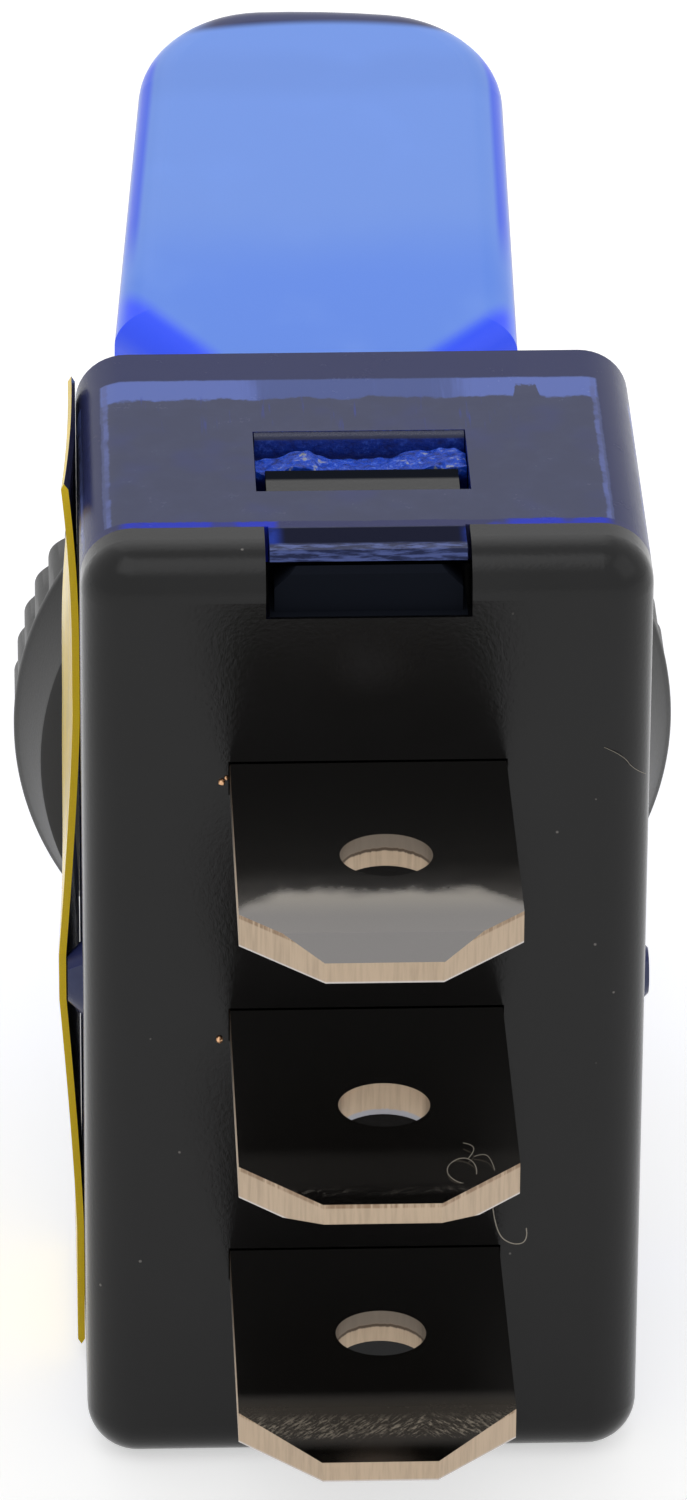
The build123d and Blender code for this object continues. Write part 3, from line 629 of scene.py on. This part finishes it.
def blade_metal(name, mount, smooth=1.0, tip_sheen=0.0, scuff=0.0, marked=(7.85, 8.55)):
    """Tin plate: bright and slightly rippled on the rolled faces, pale and striated
    on the sheared edges. A painted reflection darkens the rolled faces towards the root,
    painted shade darkens the sideways sheared edges near the root, and a painted
    highlight runs along the lower edge.

    The hole's mount gives each blade's own thickness direction. Smooth sets how much
    of the hole's upper wall is burnished grey, tip_sheen brings out a painted sheen, a
    reflection of the light, in a patch towards the tip, and scuff brings out scratches
    in a band, marked, measured from the root.
    """
    board = Board(name)
    (x, y, z), place = board.place()
    face_x, _, face_z = board.facing()
    colours = settings().switch_colours
    tin, cut = tuple(colours.tin), tuple(colours.cut)
    hole_x, hole_y, hole_z = (float(value) / MM for value in mount["pos_m"])
    axis = np.array(mount["axis"]) * np.sign(mount["axis"][2])
    through = (y - hole_y) * float(axis[1]) + (z - hole_z) * float(axis[2])
    along = y - REAR
    sheared = 1 - face_z.size().ramp(0.70, 0.9)
    striae = board.noise(board.stretch(place, 9.0, 9.0, 0.7), 1.0, 3.0, 0.6)
    roll = board.noise(board.stretch(place, 3.0, 0.5, 3.0), 1.0, 3.0, 0.5)
    haze = board.noise(place, 1.1, 4.0, 0.6)
    fine = board.noise(place, 16.0, 2.0, 0.6)
    in_hole = (1 - ((x - hole_x).size() ** 2 + (y - hole_y).size() ** 2).ramp(1.3, 1.6)) * sheared
    depth = through + 0.08 * (striae - 0.5)
    burnished = in_hole * depth.ramp(0.02, 0.09) * smooth
    lip = in_hole * depth.band(-0.02, 0.06, 0.02) * smooth
    # painted reflection: the rolled faces darker near the root, where the black base is reflected,
    # and lighter towards the tip
    tone = board.mix(shaded(tin, 0.75), shaded(tin, 1.35),
                     along.ramp(0.5, 8.0))
    edge_tone = board.mix(cut, shaded(cut, 0.84), striae.ramp(0.35, 0.75))
    # painted shade: sheared edges that face sideways turn dark near the root
    far = along.ramp(1.0, 6.5)
    edge_tone = board.mix(shaded(cut, 0.12), edge_tone,
                          far.largest(1 - face_x.size().ramp(0.9, 0.97)))
    tone = board.mix(tone, edge_tone, sheared)
    tone = board.mix(tone, (0.17, 0.145, 0.12), burnished * 0.85)
    tone = board.mix(tone, (0.05, 0.03, 0.018), lip * 0.9)
    tone = board.mix(tone, (0.40, 0.40, 0.44),
                     in_hole * (1 - depth.ramp(-0.30, -0.24)) * (1 - smooth))
    arris = sheared * (1 - in_hole) * through.band(0.30, 0.42, 0.02)
    tone = board.mix(tone, (0.18, 0.09, 0.035), arris * striae.ramp(0.3, 0.6) * 0.6)
    # painted highlight: near white along the blade's lower edge
    lower_edge_highlight = sheared * (1 - in_hole) * (1 - through.ramp(-0.39, -0.34))
    tone = board.mix(tone, (0.75, 0.74, 0.76), lower_edge_highlight * 0.7)
    rolled = (1 - sheared) * face_z.ramp(0.5, 0.7)
    spread = (x.size() - 2.2).largest(0.0)
    # painted reflection: a lighter, rougher sheen patch towards the tip, darker again on the
    # lead-in
    tip_sheen_patch = (along - 0.8 * spread + 0.8 * (haze - 0.5)).ramp(6.2, 7.0) * rolled * tip_sheen
    bright = (along + 0.8 * (haze - 0.5)).ramp(4.8, 6.8) * rolled * tip_sheen
    patch = board.mix((0.40, 0.37, 0.33), (0.30, 0.285, 0.275), along.ramp(6.6, 7.9))
    tone = board.mix(tone, board.mix(patch, (0.225, 0.215, 0.21), along.ramp(8.56, 8.60)), tip_sheen_patch)
    strokes = [board.noise(board.stretch(board.turned(place, lean), 2.6, 13.0, 2.6), 1.3, 3.0, 0.7)
               for lean in (0.75, -0.75)]
    slant = board.mix(*strokes, x.ramp(-1.4, -0.8))
    marks = board.node("ShaderNodeSeparateColor", {}, {0: slant})
    zone = (along + 0.4 * (haze - 0.5)).band(*marked, 0.2) * rolled * scuff
    scuffed = marks.ramp(0.50, 0.60) * fine.ramp(0.30, 0.5) * zone
    tone = board.mix(tone, (0.80, 0.70, 0.56), scuffed)
    warm = along.band(7.1, 8.7, 0.4) * rolled * (scuff * scuff)
    tone = board.mix(tone, (0.075, 0.058, 0.038), warm * 0.7)
    rough = (0.10 + 0.06 * haze + 0.04 * fine + sheared * (0.30 + 0.12 * striae)
             + 0.32 * tip_sheen_patch + 0.07 * bright + 0.3 * scuffed + 0.12 * warm)
    relief = roll * 0.3 + sheared * striae + scuffed * marks * 2.0 + tip_sheen_patch * fine
    return board.finish(
        Base_Color=tone,
        Metallic=1.0 - 0.45 * sheared - 0.35 * tip_sheen_patch - 0.5 * scuffed - 0.35 * warm,
        Roughness=rough,
        Normal=board.bump(relief, 0.12, 0.00004),
    )


def plain_metal(name, tone, roughness):
    """Rolled metal with fine grain."""
    board = Board(name)
    _, place = board.place()
    grain = board.noise(board.stretch(place, 12.0, 1.0, 12.0), 1.0, 3.0)
    return board.finish(Base_Color=board.mix(tone, shaded(tone, 0.8), grain),
                        Metallic=1.0, Roughness=roughness + 0.12 * grain,
                        Normal=board.bump(grain, 0.08, 0.00003))


def plain_plastic(name, tone, roughness):
    """Smooth moulded plastic with slight cloudiness."""
    board = Board(name)
    _, place = board.place()
    cloud = board.noise(place, 3.0, 3.0)
    return board.finish(Base_Color=board.mix(tone, shaded(tone, 0.85), cloud),
                        Roughness=roughness + 0.08 * cloud)


def label_film():
    """Glossy yellow film, slightly cockled, and dark with painted shade on its inner face."""
    board = Board("yellow_film")
    _, place = board.place()
    face_x, _, _ = board.facing()
    yellow = tuple(settings().switch_colours.yellow)
    cockle = board.noise(place, 0.6, 2.0)
    fleck = board.noise(place, 20.0, 2.0)
    tone = board.mix(yellow, (0.85, 0.60, 0.03), cockle.ramp(0.4, 0.6))
    # painted shade: near black on the inner face, in the gap between the film and the case
    tone = board.mix((0.024, 0.022, 0.05), tone, face_x.ramp(-0.6, 0.2))
    tone = board.mix(yellow, tone, face_x.size().ramp(0.35, 0.7))
    tone = board.mix(tone, shaded(yellow, 0.85), fleck * (1 - face_x.size().ramp(0.3, 0.7)))
    return board.finish(Base_Color=tone, Roughness=0.2 + 0.08 * fleck, Specular_IOR_Level=0.15,
                        Coat_Weight=0.15, Coat_Roughness=0.1,
                        Normal=board.bump(cockle, 0.15, 0.0002))


# --- operators -------------------------------------------------------------------
class SWITCH_OT_case(bpy.types.Operator):
    """Finishes the case: clear housing with its threaded bushing, torn flash in the
    latch window, black base"""
    bl_idname = "switch.case"
    bl_label = "Case"

    def execute(self, context):
        case = context.scene.switch_case
        clear = housing_plastic(case)
        mesh = threaded_housing(case)
        housing = piece("front_housing_threaded", mesh, clear, "case")
        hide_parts("front_housing")
        flash = grid_mesh("window_flash", flash_points(case), close_columns=True)
        piece("window_flash", flash, flash_plastic(), "case")
        finish_node("rear_base", black_plastic("black_base"))
        return {"FINISHED"}


def thread_span(case):
    """Y where the thread starts, at the back, and where it stops."""
    return -case.thread_back, HOUSING_LOW[1] + case.mouth_chamfer


def thread_points(case):
    """Grid of the thread round the bushing; rows run along Y, columns round it.

    The radius is R - depth * w(phase), where phase is y / pitch + angle / 360 and w
    is a rounded triangle wave, (1 - cos) / 2 raised to 0.8. The cut fades to nothing
    over half a pitch at each end, so both end rows are plain circles.
    """
    start, stop = thread_span(case)
    y = np.linspace(start, stop, 141)[:, None]
    angle = np.linspace(0, 2 * np.pi, 144, endpoint=False)[None]
    phase = 2 * np.pi * y / case.thread_pitch + angle
    fade = np.clip(np.minimum(start - y, y - stop) / (0.5 * case.thread_pitch), 0, 1)
    radius = case.bushing_radius - case.thread_depth * fade * ((1 - np.cos(phase)) / 2) ** 0.8
    return np.stack([radius * np.cos(angle), y + 0 * angle, radius * np.sin(angle)], axis=-1)


def threaded_housing(case):
    """Copy of the housing's mesh whose plain bushing wall gives way to the thread."""
    work = bmesh.new()
    work.from_mesh(frame["nodes"]["front_housing"].data)
    bmesh.ops.remove_doubles(work, verts=work.verts, dist=1e-6)
    start, stop = thread_span(case)
    bmesh.ops.bisect_plane(work, geom=work.verts[:] + work.edges[:] + work.faces[:], dist=1e-7,
                           plane_co=(0, start, 0), plane_no=(0, 1, 0))
    plain = []
    for face in work.faces:
        centre = face.calc_center_median()
        outward = centre.x * face.normal.x + centre.z * face.normal.z > 0
        on_wall = Vector((centre.x, centre.z)).length > 0.96 * case.bushing_radius
        if outward and on_wall and stop < centre.y < start and abs(face.normal.y) < 0.2:
            plain.append(face)
    bmesh.ops.delete(work, geom=plain, context="FACES")
    work.from_mesh(grid_mesh("bushing_thread", thread_points(case), close_columns=True))
    mesh = bpy.data.meshes.new("front_housing_threaded")
    work.to_mesh(mesh)
    work.free()
    merge_points(mesh)
    return mesh


def flash_points(case):
    """Closed grid of the torn lip in the upper latch window; rows run along X.

    From front to rear its upper side is a flush lip, a drop, a hollow and a rough
    shelf that reaches the tooth. The shelf's front edge wavers with a ripple and comes
    forward in two bays, where it also stands higher. Its lower side lies flat. Both
    end rows fold to a line.
    """
    half = case.window_width / 2 - HAIRLINE
    front = REAR_Y - case.window_front + HAIRLINE
    x = np.linspace(-half, half, 190)[:, None]
    t = np.linspace(0, 1, 64)[None]
    y = front + case.flash_reach * t + 0 * x
    wave = ripple(x / MM, 0 * x, 5)
    bays = np.exp(-((x / MM + 1.9) / 0.75) ** 2) + np.exp(-((x / MM - 1.4) / 0.35) ** 2)
    drop = step_up(t, 0.215 + 0.012 * wave, 0.03)
    shelf = step_up(t, 0.44 - 0.15 * bays + 0.10 * wave, 0.06)
    rough = (0.12 * ripple(x / MM + 0 * t, y / MM, 3)
             + 0.07 * ripple(2.2 * x / MM + 0 * t, 2.2 * y / MM, 9))
    low_lip = -0.012 - 0.60 * drop
    top = low_lip + shelf * (0.34 + 0.12 * bays + rough) + 0.3 * rough * drop
    top = TOP_Z + np.minimum(top, -0.012) * MM
    low = np.full_like(top, TOP_Z - 1.2 * MM)
    top[[0, -1]] = low[[0, -1]]
    upper = np.stack([x + 0 * t, y, top], axis=-1)
    lower = np.stack([x + 0 * t, y, low], axis=-1)
    return np.concatenate([upper, lower[:, ::-1]], axis=1)


def step_up(t, middle, width):
    """0 well before the middle, 1 well after it: (1 + tanh((t - middle) / width)) / 2."""
    return (1 + np.tanh((t - middle) / width)) / 2


class SWITCH_OT_terminals(bpy.types.Operator):
    """Finishes the three blade terminals"""
    bl_idname = "switch.terminals"
    bl_label = "Terminals"

    def execute(self, context):
        # each row: the node, the hole's mount, how smooth the hole's upper wall is, how much
        # painted sheen the tip gets, how much it is scuffed and, where given, the scuff band
        for node, mount, *wear_and_sheen in (
            ("terminal_load", "load_hole", 1.0, 1.0, 0.0),
            ("terminal_supply", "supply_hole", 0.0, 0.0, 0.35, (8.75, 8.95)),
            ("terminal_ground", "ground_hole", 1.0, 0.0, 1.0),
        ):
            finish_node(node, blade_metal(f"tin_plate_{mount}", MOUNTS[mount], *wear_and_sheen))
        return {"FINISHED"}


class SWITCH_OT_contacts(bpy.types.Operator):
    """Finishes the rocker, its contacts and the inner metalwork"""
    bl_idname = "switch.contacts"
    bl_label = "Contacts"

    def execute(self, context):
        bronze = plain_metal("rolled_bronze", (0.55, 0.28, 0.11), 0.25)
        for node in ("rocker_cradle", "contact_rocker", "ground_strip", "ground_ring"):
            finish_node(node, bronze)
        silver = plain_metal("contact_silver", (0.82, 0.80, 0.76), 0.18)
        for node in ("contact_fixed", "contact_moving"):
            finish_node(node, silver)
        steel = plain_metal("drawn_steel", (0.5, 0.5, 0.5), 0.25)
        for node in ("pivot_pin", "lamp_lead", "resistor_lead", "ground_lead"):
            finish_node(node, steel)
        add_spring(steel)
        finish_node("plunger", plain_plastic("white_nylon", (0.8, 0.78, 0.72), 0.35))
        finish_node("lamp_resistor", plain_plastic("film_coat", (0.55, 0.42, 0.24), 0.4))
        finish_node("led_lamp", plain_plastic("lamp_epoxy", (0.7, 0.78, 0.95), 0.1))
        return {"FINISHED"}


def add_spring(steel):
    """Adds the plunger's spring as a coil: a steel copy of its mesh, with its placement
    baked into its points and riding on no body, in place of the CAD spring, which is hidden."""
    mesh = frame["nodes"]["plunger_spring"].data.copy()
    merge_points(mesh)
    coil = piece("plunger_spring_coil", mesh, steel, None)
    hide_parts("plunger_spring")
    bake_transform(coil)


class SWITCH_OT_lever(bpy.types.Operator):
    """Finishes the lever"""
    bl_idname = "switch.lever"
    bl_label = "Lever"

    def execute(self, context):
        finish_node("lever_paddle", lever_plastic())
        return {"FINISHED"}


class SWITCH_OT_nut(bpy.types.Operator):
    """Builds the knurled panel nut"""
    bl_idname = "switch.nut"
    bl_label = "Panel nut"

    def execute(self, context):
        mesh = grid_mesh("panel_nut_knurled", nut_points(context.scene.switch_nut), True, True)
        nut = piece("panel_nut_knurled", mesh, black_plastic("black_nut", 0.34, 0.5, False), "nut")
        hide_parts("panel_nut")
        return {"FINISHED"}


def nut_points(nut):
    """Grid of a knurled ring about the Y axis.

    The profile runs round the section: bore, back face, cone, rim, front face. Where
    its third column is 1 the radius is R - depth * (1 - |sin(n * angle / 2)|), which
    makes n round waves that meet in creases; elsewhere the ring stays plain.
    """
    rim = NUT_HIGH[0]
    back, front = NUT_HIGH[1], NUT_LOW[1]
    rim_back = back - nut.cone
    soft, chamfer = nut.soft, nut.chamfer
    crest = rim - 0.02 * MM
    profile = np.array([
        (nut.bore, back, 0),
        (nut.back_radius - soft, back, 0),
        (nut.back_radius - 0.3 * soft, back - 0.3 * soft, 0),
        (nut.back_radius, back - soft, 0),
        (rim - soft, rim_back + soft, 0),
        (rim - 0.3 * soft, rim_back + 0.2 * soft, 0),
        (rim, rim_back - 0.6 * soft, 0),
        (rim, rim_back - 1.6 * soft, 0),
        (crest, rim_back - 2.0 * soft, 1),
        (crest, (rim_back + front + chamfer) / 2, 1),
        (crest, front + chamfer + soft, 1),
        (crest - 0.6 * chamfer, front + 0.35 * chamfer, 0.5),
        (crest - 1.2 * chamfer, front, 0),
        (nut.bore + chamfer, front, 0),
        (nut.bore, front + chamfer, 0),
    ])
    steps = nut.scallops * 12
    angle = np.linspace(0, 2 * np.pi, steps, endpoint=False)
    cut = nut.depth * (1 - np.abs(np.sin(nut.scallops * angle / 2)))
    radius = profile[:, None, 0] - profile[:, None, 2] * cut[None]
    return np.stack([radius * np.cos(angle), np.repeat(profile[:, 1:2], steps, 1),
                     radius * np.sin(angle)], axis=-1)


class SWITCH_OT_label(bpy.types.Operator):
    """Builds the side label, which lifts off the case in places"""
    bl_idname = "switch.label"
    bl_label = "Side label"

    def execute(self, context):
        points = label_points(context.scene.switch_label)
        mesh = grid_mesh("side_label_film", points, close_columns=True)
        film = piece("side_label_film", mesh, label_film(), "case")
        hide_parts("side_label")
        return {"FINISHED"}


def label_points(label):
    """Closed grid of the label; rows run along Z, columns round its thin section.

    Its stand-off from the wall is the sum of a tent over the nub, which fades to the
    front, a curl at the rear that grows with the square of the height above its start,
    and a flare at the front edge that fades to the rear and along Z. Both end rows
    fold to a line.
    """
    z = np.linspace(LABEL_LOW[2], LABEL_HIGH[2], 161)[:, None]
    t = np.linspace(0, 1, 25)[None]
    y = LABEL_LOW[1] + (LABEL_HIGH[1] - LABEL_LOW[1]) * t + 0 * z
    near_nub = np.clip(1 - np.abs(z - label.tent_z) / label.tent_reach, 0, 1)
    near_top = np.clip((z - LABEL_HIGH[2] + label.curl_reach) / label.curl_reach, 0, 1)
    tent = label.tent * near_nub ** 1.3 * t ** 0.5
    curl = label.curl * near_top ** 2 * t ** 2
    flare = label.flare * (1 - t) ** 2 * np.exp(-((z - label.flare_z) / label.flare_reach) ** 4)
    outer = np.minimum(SIDE_X + label.thickness + 0.01 * MM + tent + curl + flare, LABEL_HIGH[0])
    inner = outer - label.thickness
    middle = (outer + inner) / 2
    outer[[0, -1]] = middle[[0, -1]]
    inner[[0, -1]] = middle[[0, -1]]
    height = z + 0 * t
    faces = [np.stack([side, y, height], axis=-1) for side in (outer, inner)]
    return np.concatenate([faces[0], faces[1][:, ::-1]], axis=1)


class SWITCH_OT_dust(bpy.types.Operator):
    """Adds the lint on the middle blade and the base, and the crumbs at the blades' roots"""
    bl_idname = "switch.dust"
    bl_label = "Dust"

    def execute(self, context):
        fibre = plain_plastic("lint_fibre", (0.30, 0.27, 0.22), 0.6)
        blade_x, blade_y, blade_z = (np.array(MOUNTS["supply_hole"]["pos_m"]) / MM)
        lying = (blade_x - 1.62, blade_y + 3.2, blade_z + 0.53)
        angle = np.linspace(0.3, 2 * np.pi + 0.9, 60)
        loop = np.stack([0.33 * np.cos(angle), 0.55 * np.sin(angle), 0.03 * np.sin(2 * angle)],
                        axis=-1)
        tail = rounded_path([(-2.55, blade_y + 3.0, -0.33), (-2.62, blade_y + 3.3, -0.9),
                             (-3.0, blade_y + 3.4, -1.15), (-3.35, blade_y + 3.4, -1.05),
                             (-3.3, blade_y + 3.35, -0.72)])
        arc = rounded_path([(-0.30, -0.62, 0.0), (-0.54, -0.70, 0.06), (-0.70, -0.35, 0.04),
                            (-0.74, 0.0, 0.0)])
        wisp = rounded_path([(-0.08, -1.2, 0.02), (-0.26, -1.1, 0.05), (-0.34, -0.8, 0.05),
                             (-0.16, -0.5, 0.02)])
        hair = rounded_path([(-5.4, REAR + 0.01, 7.2), (-5.85, REAR + 0.03, 7.0),
                             (-6.1, REAR + 0.02, 6.6), (-6.4, REAR - 0.06, 6.45)])
        for name, path, radius in (
            ("lint_loop", loop + lying, 0.011),
            ("lint_arc", arc + lying, 0.009),
            ("lint_wisp", wisp + lying, 0.010),
            ("lint_tail", tail, 0.013),
            ("lint_hair", hair, 0.007),
        ):
            mesh = grid_mesh(name, strand_points(path * MM, radius * MM), close_columns=True)
            piece(name, mesh, fibre, "case")
        copper = plain_metal("copper_crumb", (0.85, 0.5, 0.28), 0.3)
        crumbs = ((3.36, 6.42, 0.075), (3.25, 6.53, 0.05), (3.42, -0.38, 0.085))
        for number, (x, z, size) in enumerate(crumbs):
            name = f"crumb_{number}"
            mesh = grid_mesh(name, crumb_points(size * MM, number), close_columns=True)
            mesh.transform(Matrix.Translation((x * MM, REAR_Y + 0.02 * MM, z * MM)))
            piece(name, mesh, copper, "case")
        return {"FINISHED"}


def crumb_points(size, seed):
    """Grid of a rough crumb: a sphere by latitude and longitude whose radius follows
    a ripple of both."""
    rise = np.linspace(-np.pi / 2, np.pi / 2, 13)[:, None]
    turn = np.linspace(0, 2 * np.pi, 18, endpoint=False)[None]
    across, along = np.cos(turn) * np.cos(rise), np.sin(turn) * np.cos(rise)
    rough = 1 + 0.35 * ripple(across, along + 0.7 * rise, seed)
    radius = size * rough * np.where(np.abs(rise) > 1.57, 0.9 / rough, 1)
    return np.stack([radius * across, radius * along, radius * np.sin(rise) + 0 * turn], axis=-1)


class SWITCH_OT_stage(bpy.types.Operator):
    """Sets out the floor, the lamps and the camera"""
    bl_idname = "switch.stage"
    bl_label = "Stage"

    def execute(self, context):
        scene = context.scene
        scene.view_settings.view_transform = "Standard"
        add_floor()
        add_lamps(scene)
        add_world(scene)
        add_camera(scene)
        return {"FINISHED"}


def add_floor():
    """Pale floor under the case. Seen directly or in a reflection it glows up to
    white, and keeps the case's shadow."""
    span = np.linspace(-FLOOR_HALF, FLOOR_HALF, 9)
    east, north = np.meshgrid(span, span, indexing="ij")
    points = np.stack([east, north, np.full_like(east, FLOOR_Z)], axis=-1)
    mesh = grid_mesh("floor", points)
    floor = bpy.data.objects.new("floor", mesh)
    bpy.context.scene.collection.objects.link(floor)
    board = Board("pale_floor")
    mesh.materials.append(board.finish(
        Base_Color=(0.8, 0.8, 0.8), Roughness=0.9, Specular_IOR_Level=0.1,
        Emission_Color=board.grey(board.seen()), Emission_Strength=FLOOR_GLOW))


def add_lamps(scene):
    """Soft lamps overhead and to each side."""
    for name, place, size, power in (
        ("key", (0.10, 0.20, 0.55), 0.40, 0.42),
        ("fill", (-0.35, 0.15, 0.30), 0.35, 0.14),
        ("back", (0.05, -0.35, 0.45), 0.35, 0.16),
    ):
        data = bpy.data.lights.new(name, "AREA")
        data.size = size
        data.energy = power
        lamp = bpy.data.objects.new(name, data)
        lamp.location = place
        lamp.rotation_euler = (-Vector(place)).to_track_quat("-Z", "Y").to_euler()
        scene.collection.objects.link(lamp)


def add_world(scene):
    """Even light from all round; seen directly or in a reflection it is white."""
    world = bpy.data.worlds.new("studio")
    world.use_nodes = True
    scene.world = world
    board = Board.of(world.node_tree)
    even, white = (board.node("ShaderNodeBackground", {},
                              {"Color": (1.0, 1.0, 1.0), "Strength": level})
                   for level in (ROOM_LEVEL, 1.0))
    both = board.node("ShaderNodeMixShader", {}, {0: board.seen(), 1: even, 2: white})
    output = board.tree.nodes.new("ShaderNodeOutputWorld")
    board.tree.links.new(both.socket, output.inputs["Surface"])


def add_camera(scene):
    """Camera behind and above the case, looking at the middle of its rear face."""
    stage = scene.switch_stage
    az, el, roll = stage.azimuth, stage.elevation, stage.roll
    back = Vector((np.sin(az) * np.cos(el), np.cos(az) * np.cos(el), np.sin(el)))
    east = Vector((-np.cos(az), np.sin(az), 0.0))
    up = Vector((-np.sin(az) * np.sin(el), -np.cos(az) * np.sin(el), np.cos(el)))
    right = east * np.cos(roll) + up * np.sin(roll)
    high = up * np.cos(roll) - east * np.sin(roll)
    aim = Vector((0.0, REAR_Y, 0.0)) + right * stage.aim_right + high * stage.aim_up
    place = aim + back * stage.distance
    data = bpy.data.cameras.new("camera")
    data.lens = stage.lens
    data.clip_start = 0.01
    camera = bpy.data.objects.new("camera", data)
    turn = Matrix((right, high, back)).transposed()
    camera.matrix_world = Matrix.Translation(place) @ turn.to_4x4()
    scene.collection.objects.link(camera)
    scene.camera = camera


class SWITCH_PT_panel(bpy.types.Panel):
    """Lists the switch's pieces in the sidebar"""
    bl_idname = "SWITCH_PT_panel"
    bl_label = "Toggle Switch"
    bl_space_type = "VIEW_3D"
    bl_region_type = "UI"
    bl_category = "Toggle Switch"

    def draw(self, context):
        layout = self.layout
        for operator in OPERATORS:
            layout.operator(operator.bl_idname)
        for group in (getattr(context.scene, name) for name in GROUPS):
            for name in group.bl_rna.properties.keys():
                if name not in ("rna_type", "name"):
                    layout.prop(group, name)


GROUPS = {
    "switch_case": SwitchCaseSettings,
    "switch_nut": SwitchNutSettings,
    "switch_label": SwitchLabelSettings,
    "switch_colours": SwitchColourSettings,
    "switch_stage": SwitchStageSettings,
}
OPERATORS = (
    SWITCH_OT_stage,
    SWITCH_OT_case,
    SWITCH_OT_terminals,
    SWITCH_OT_contacts,
    SWITCH_OT_lever,
    SWITCH_OT_nut,
    SWITCH_OT_label,
    SWITCH_OT_dust,
)


def register():
    for group in GROUPS.values():
        bpy.utils.register_class(group)
    for operator in OPERATORS:
        bpy.utils.register_class(operator)
    bpy.utils.register_class(SWITCH_PT_panel)
    for name, group in GROUPS.items():
        setattr(bpy.types.Scene, name, PointerProperty(type=group))


def unregister():
    for name in GROUPS:
        delattr(bpy.types.Scene, name)
    for kind in (SWITCH_PT_panel, *OPERATORS, *GROUPS.values()):
        bpy.utils.unregister_class(kind)


def main():
    register()
    bpy.ops.switch.stage()
    bpy.ops.switch.case()
    bpy.ops.switch.terminals()
    bpy.ops.switch.contacts()
    bpy.ops.switch.lever()
    bpy.ops.switch.nut()
    bpy.ops.switch.label()
    bpy.ops.switch.dust()


if __name__ == "__main__":
    main()
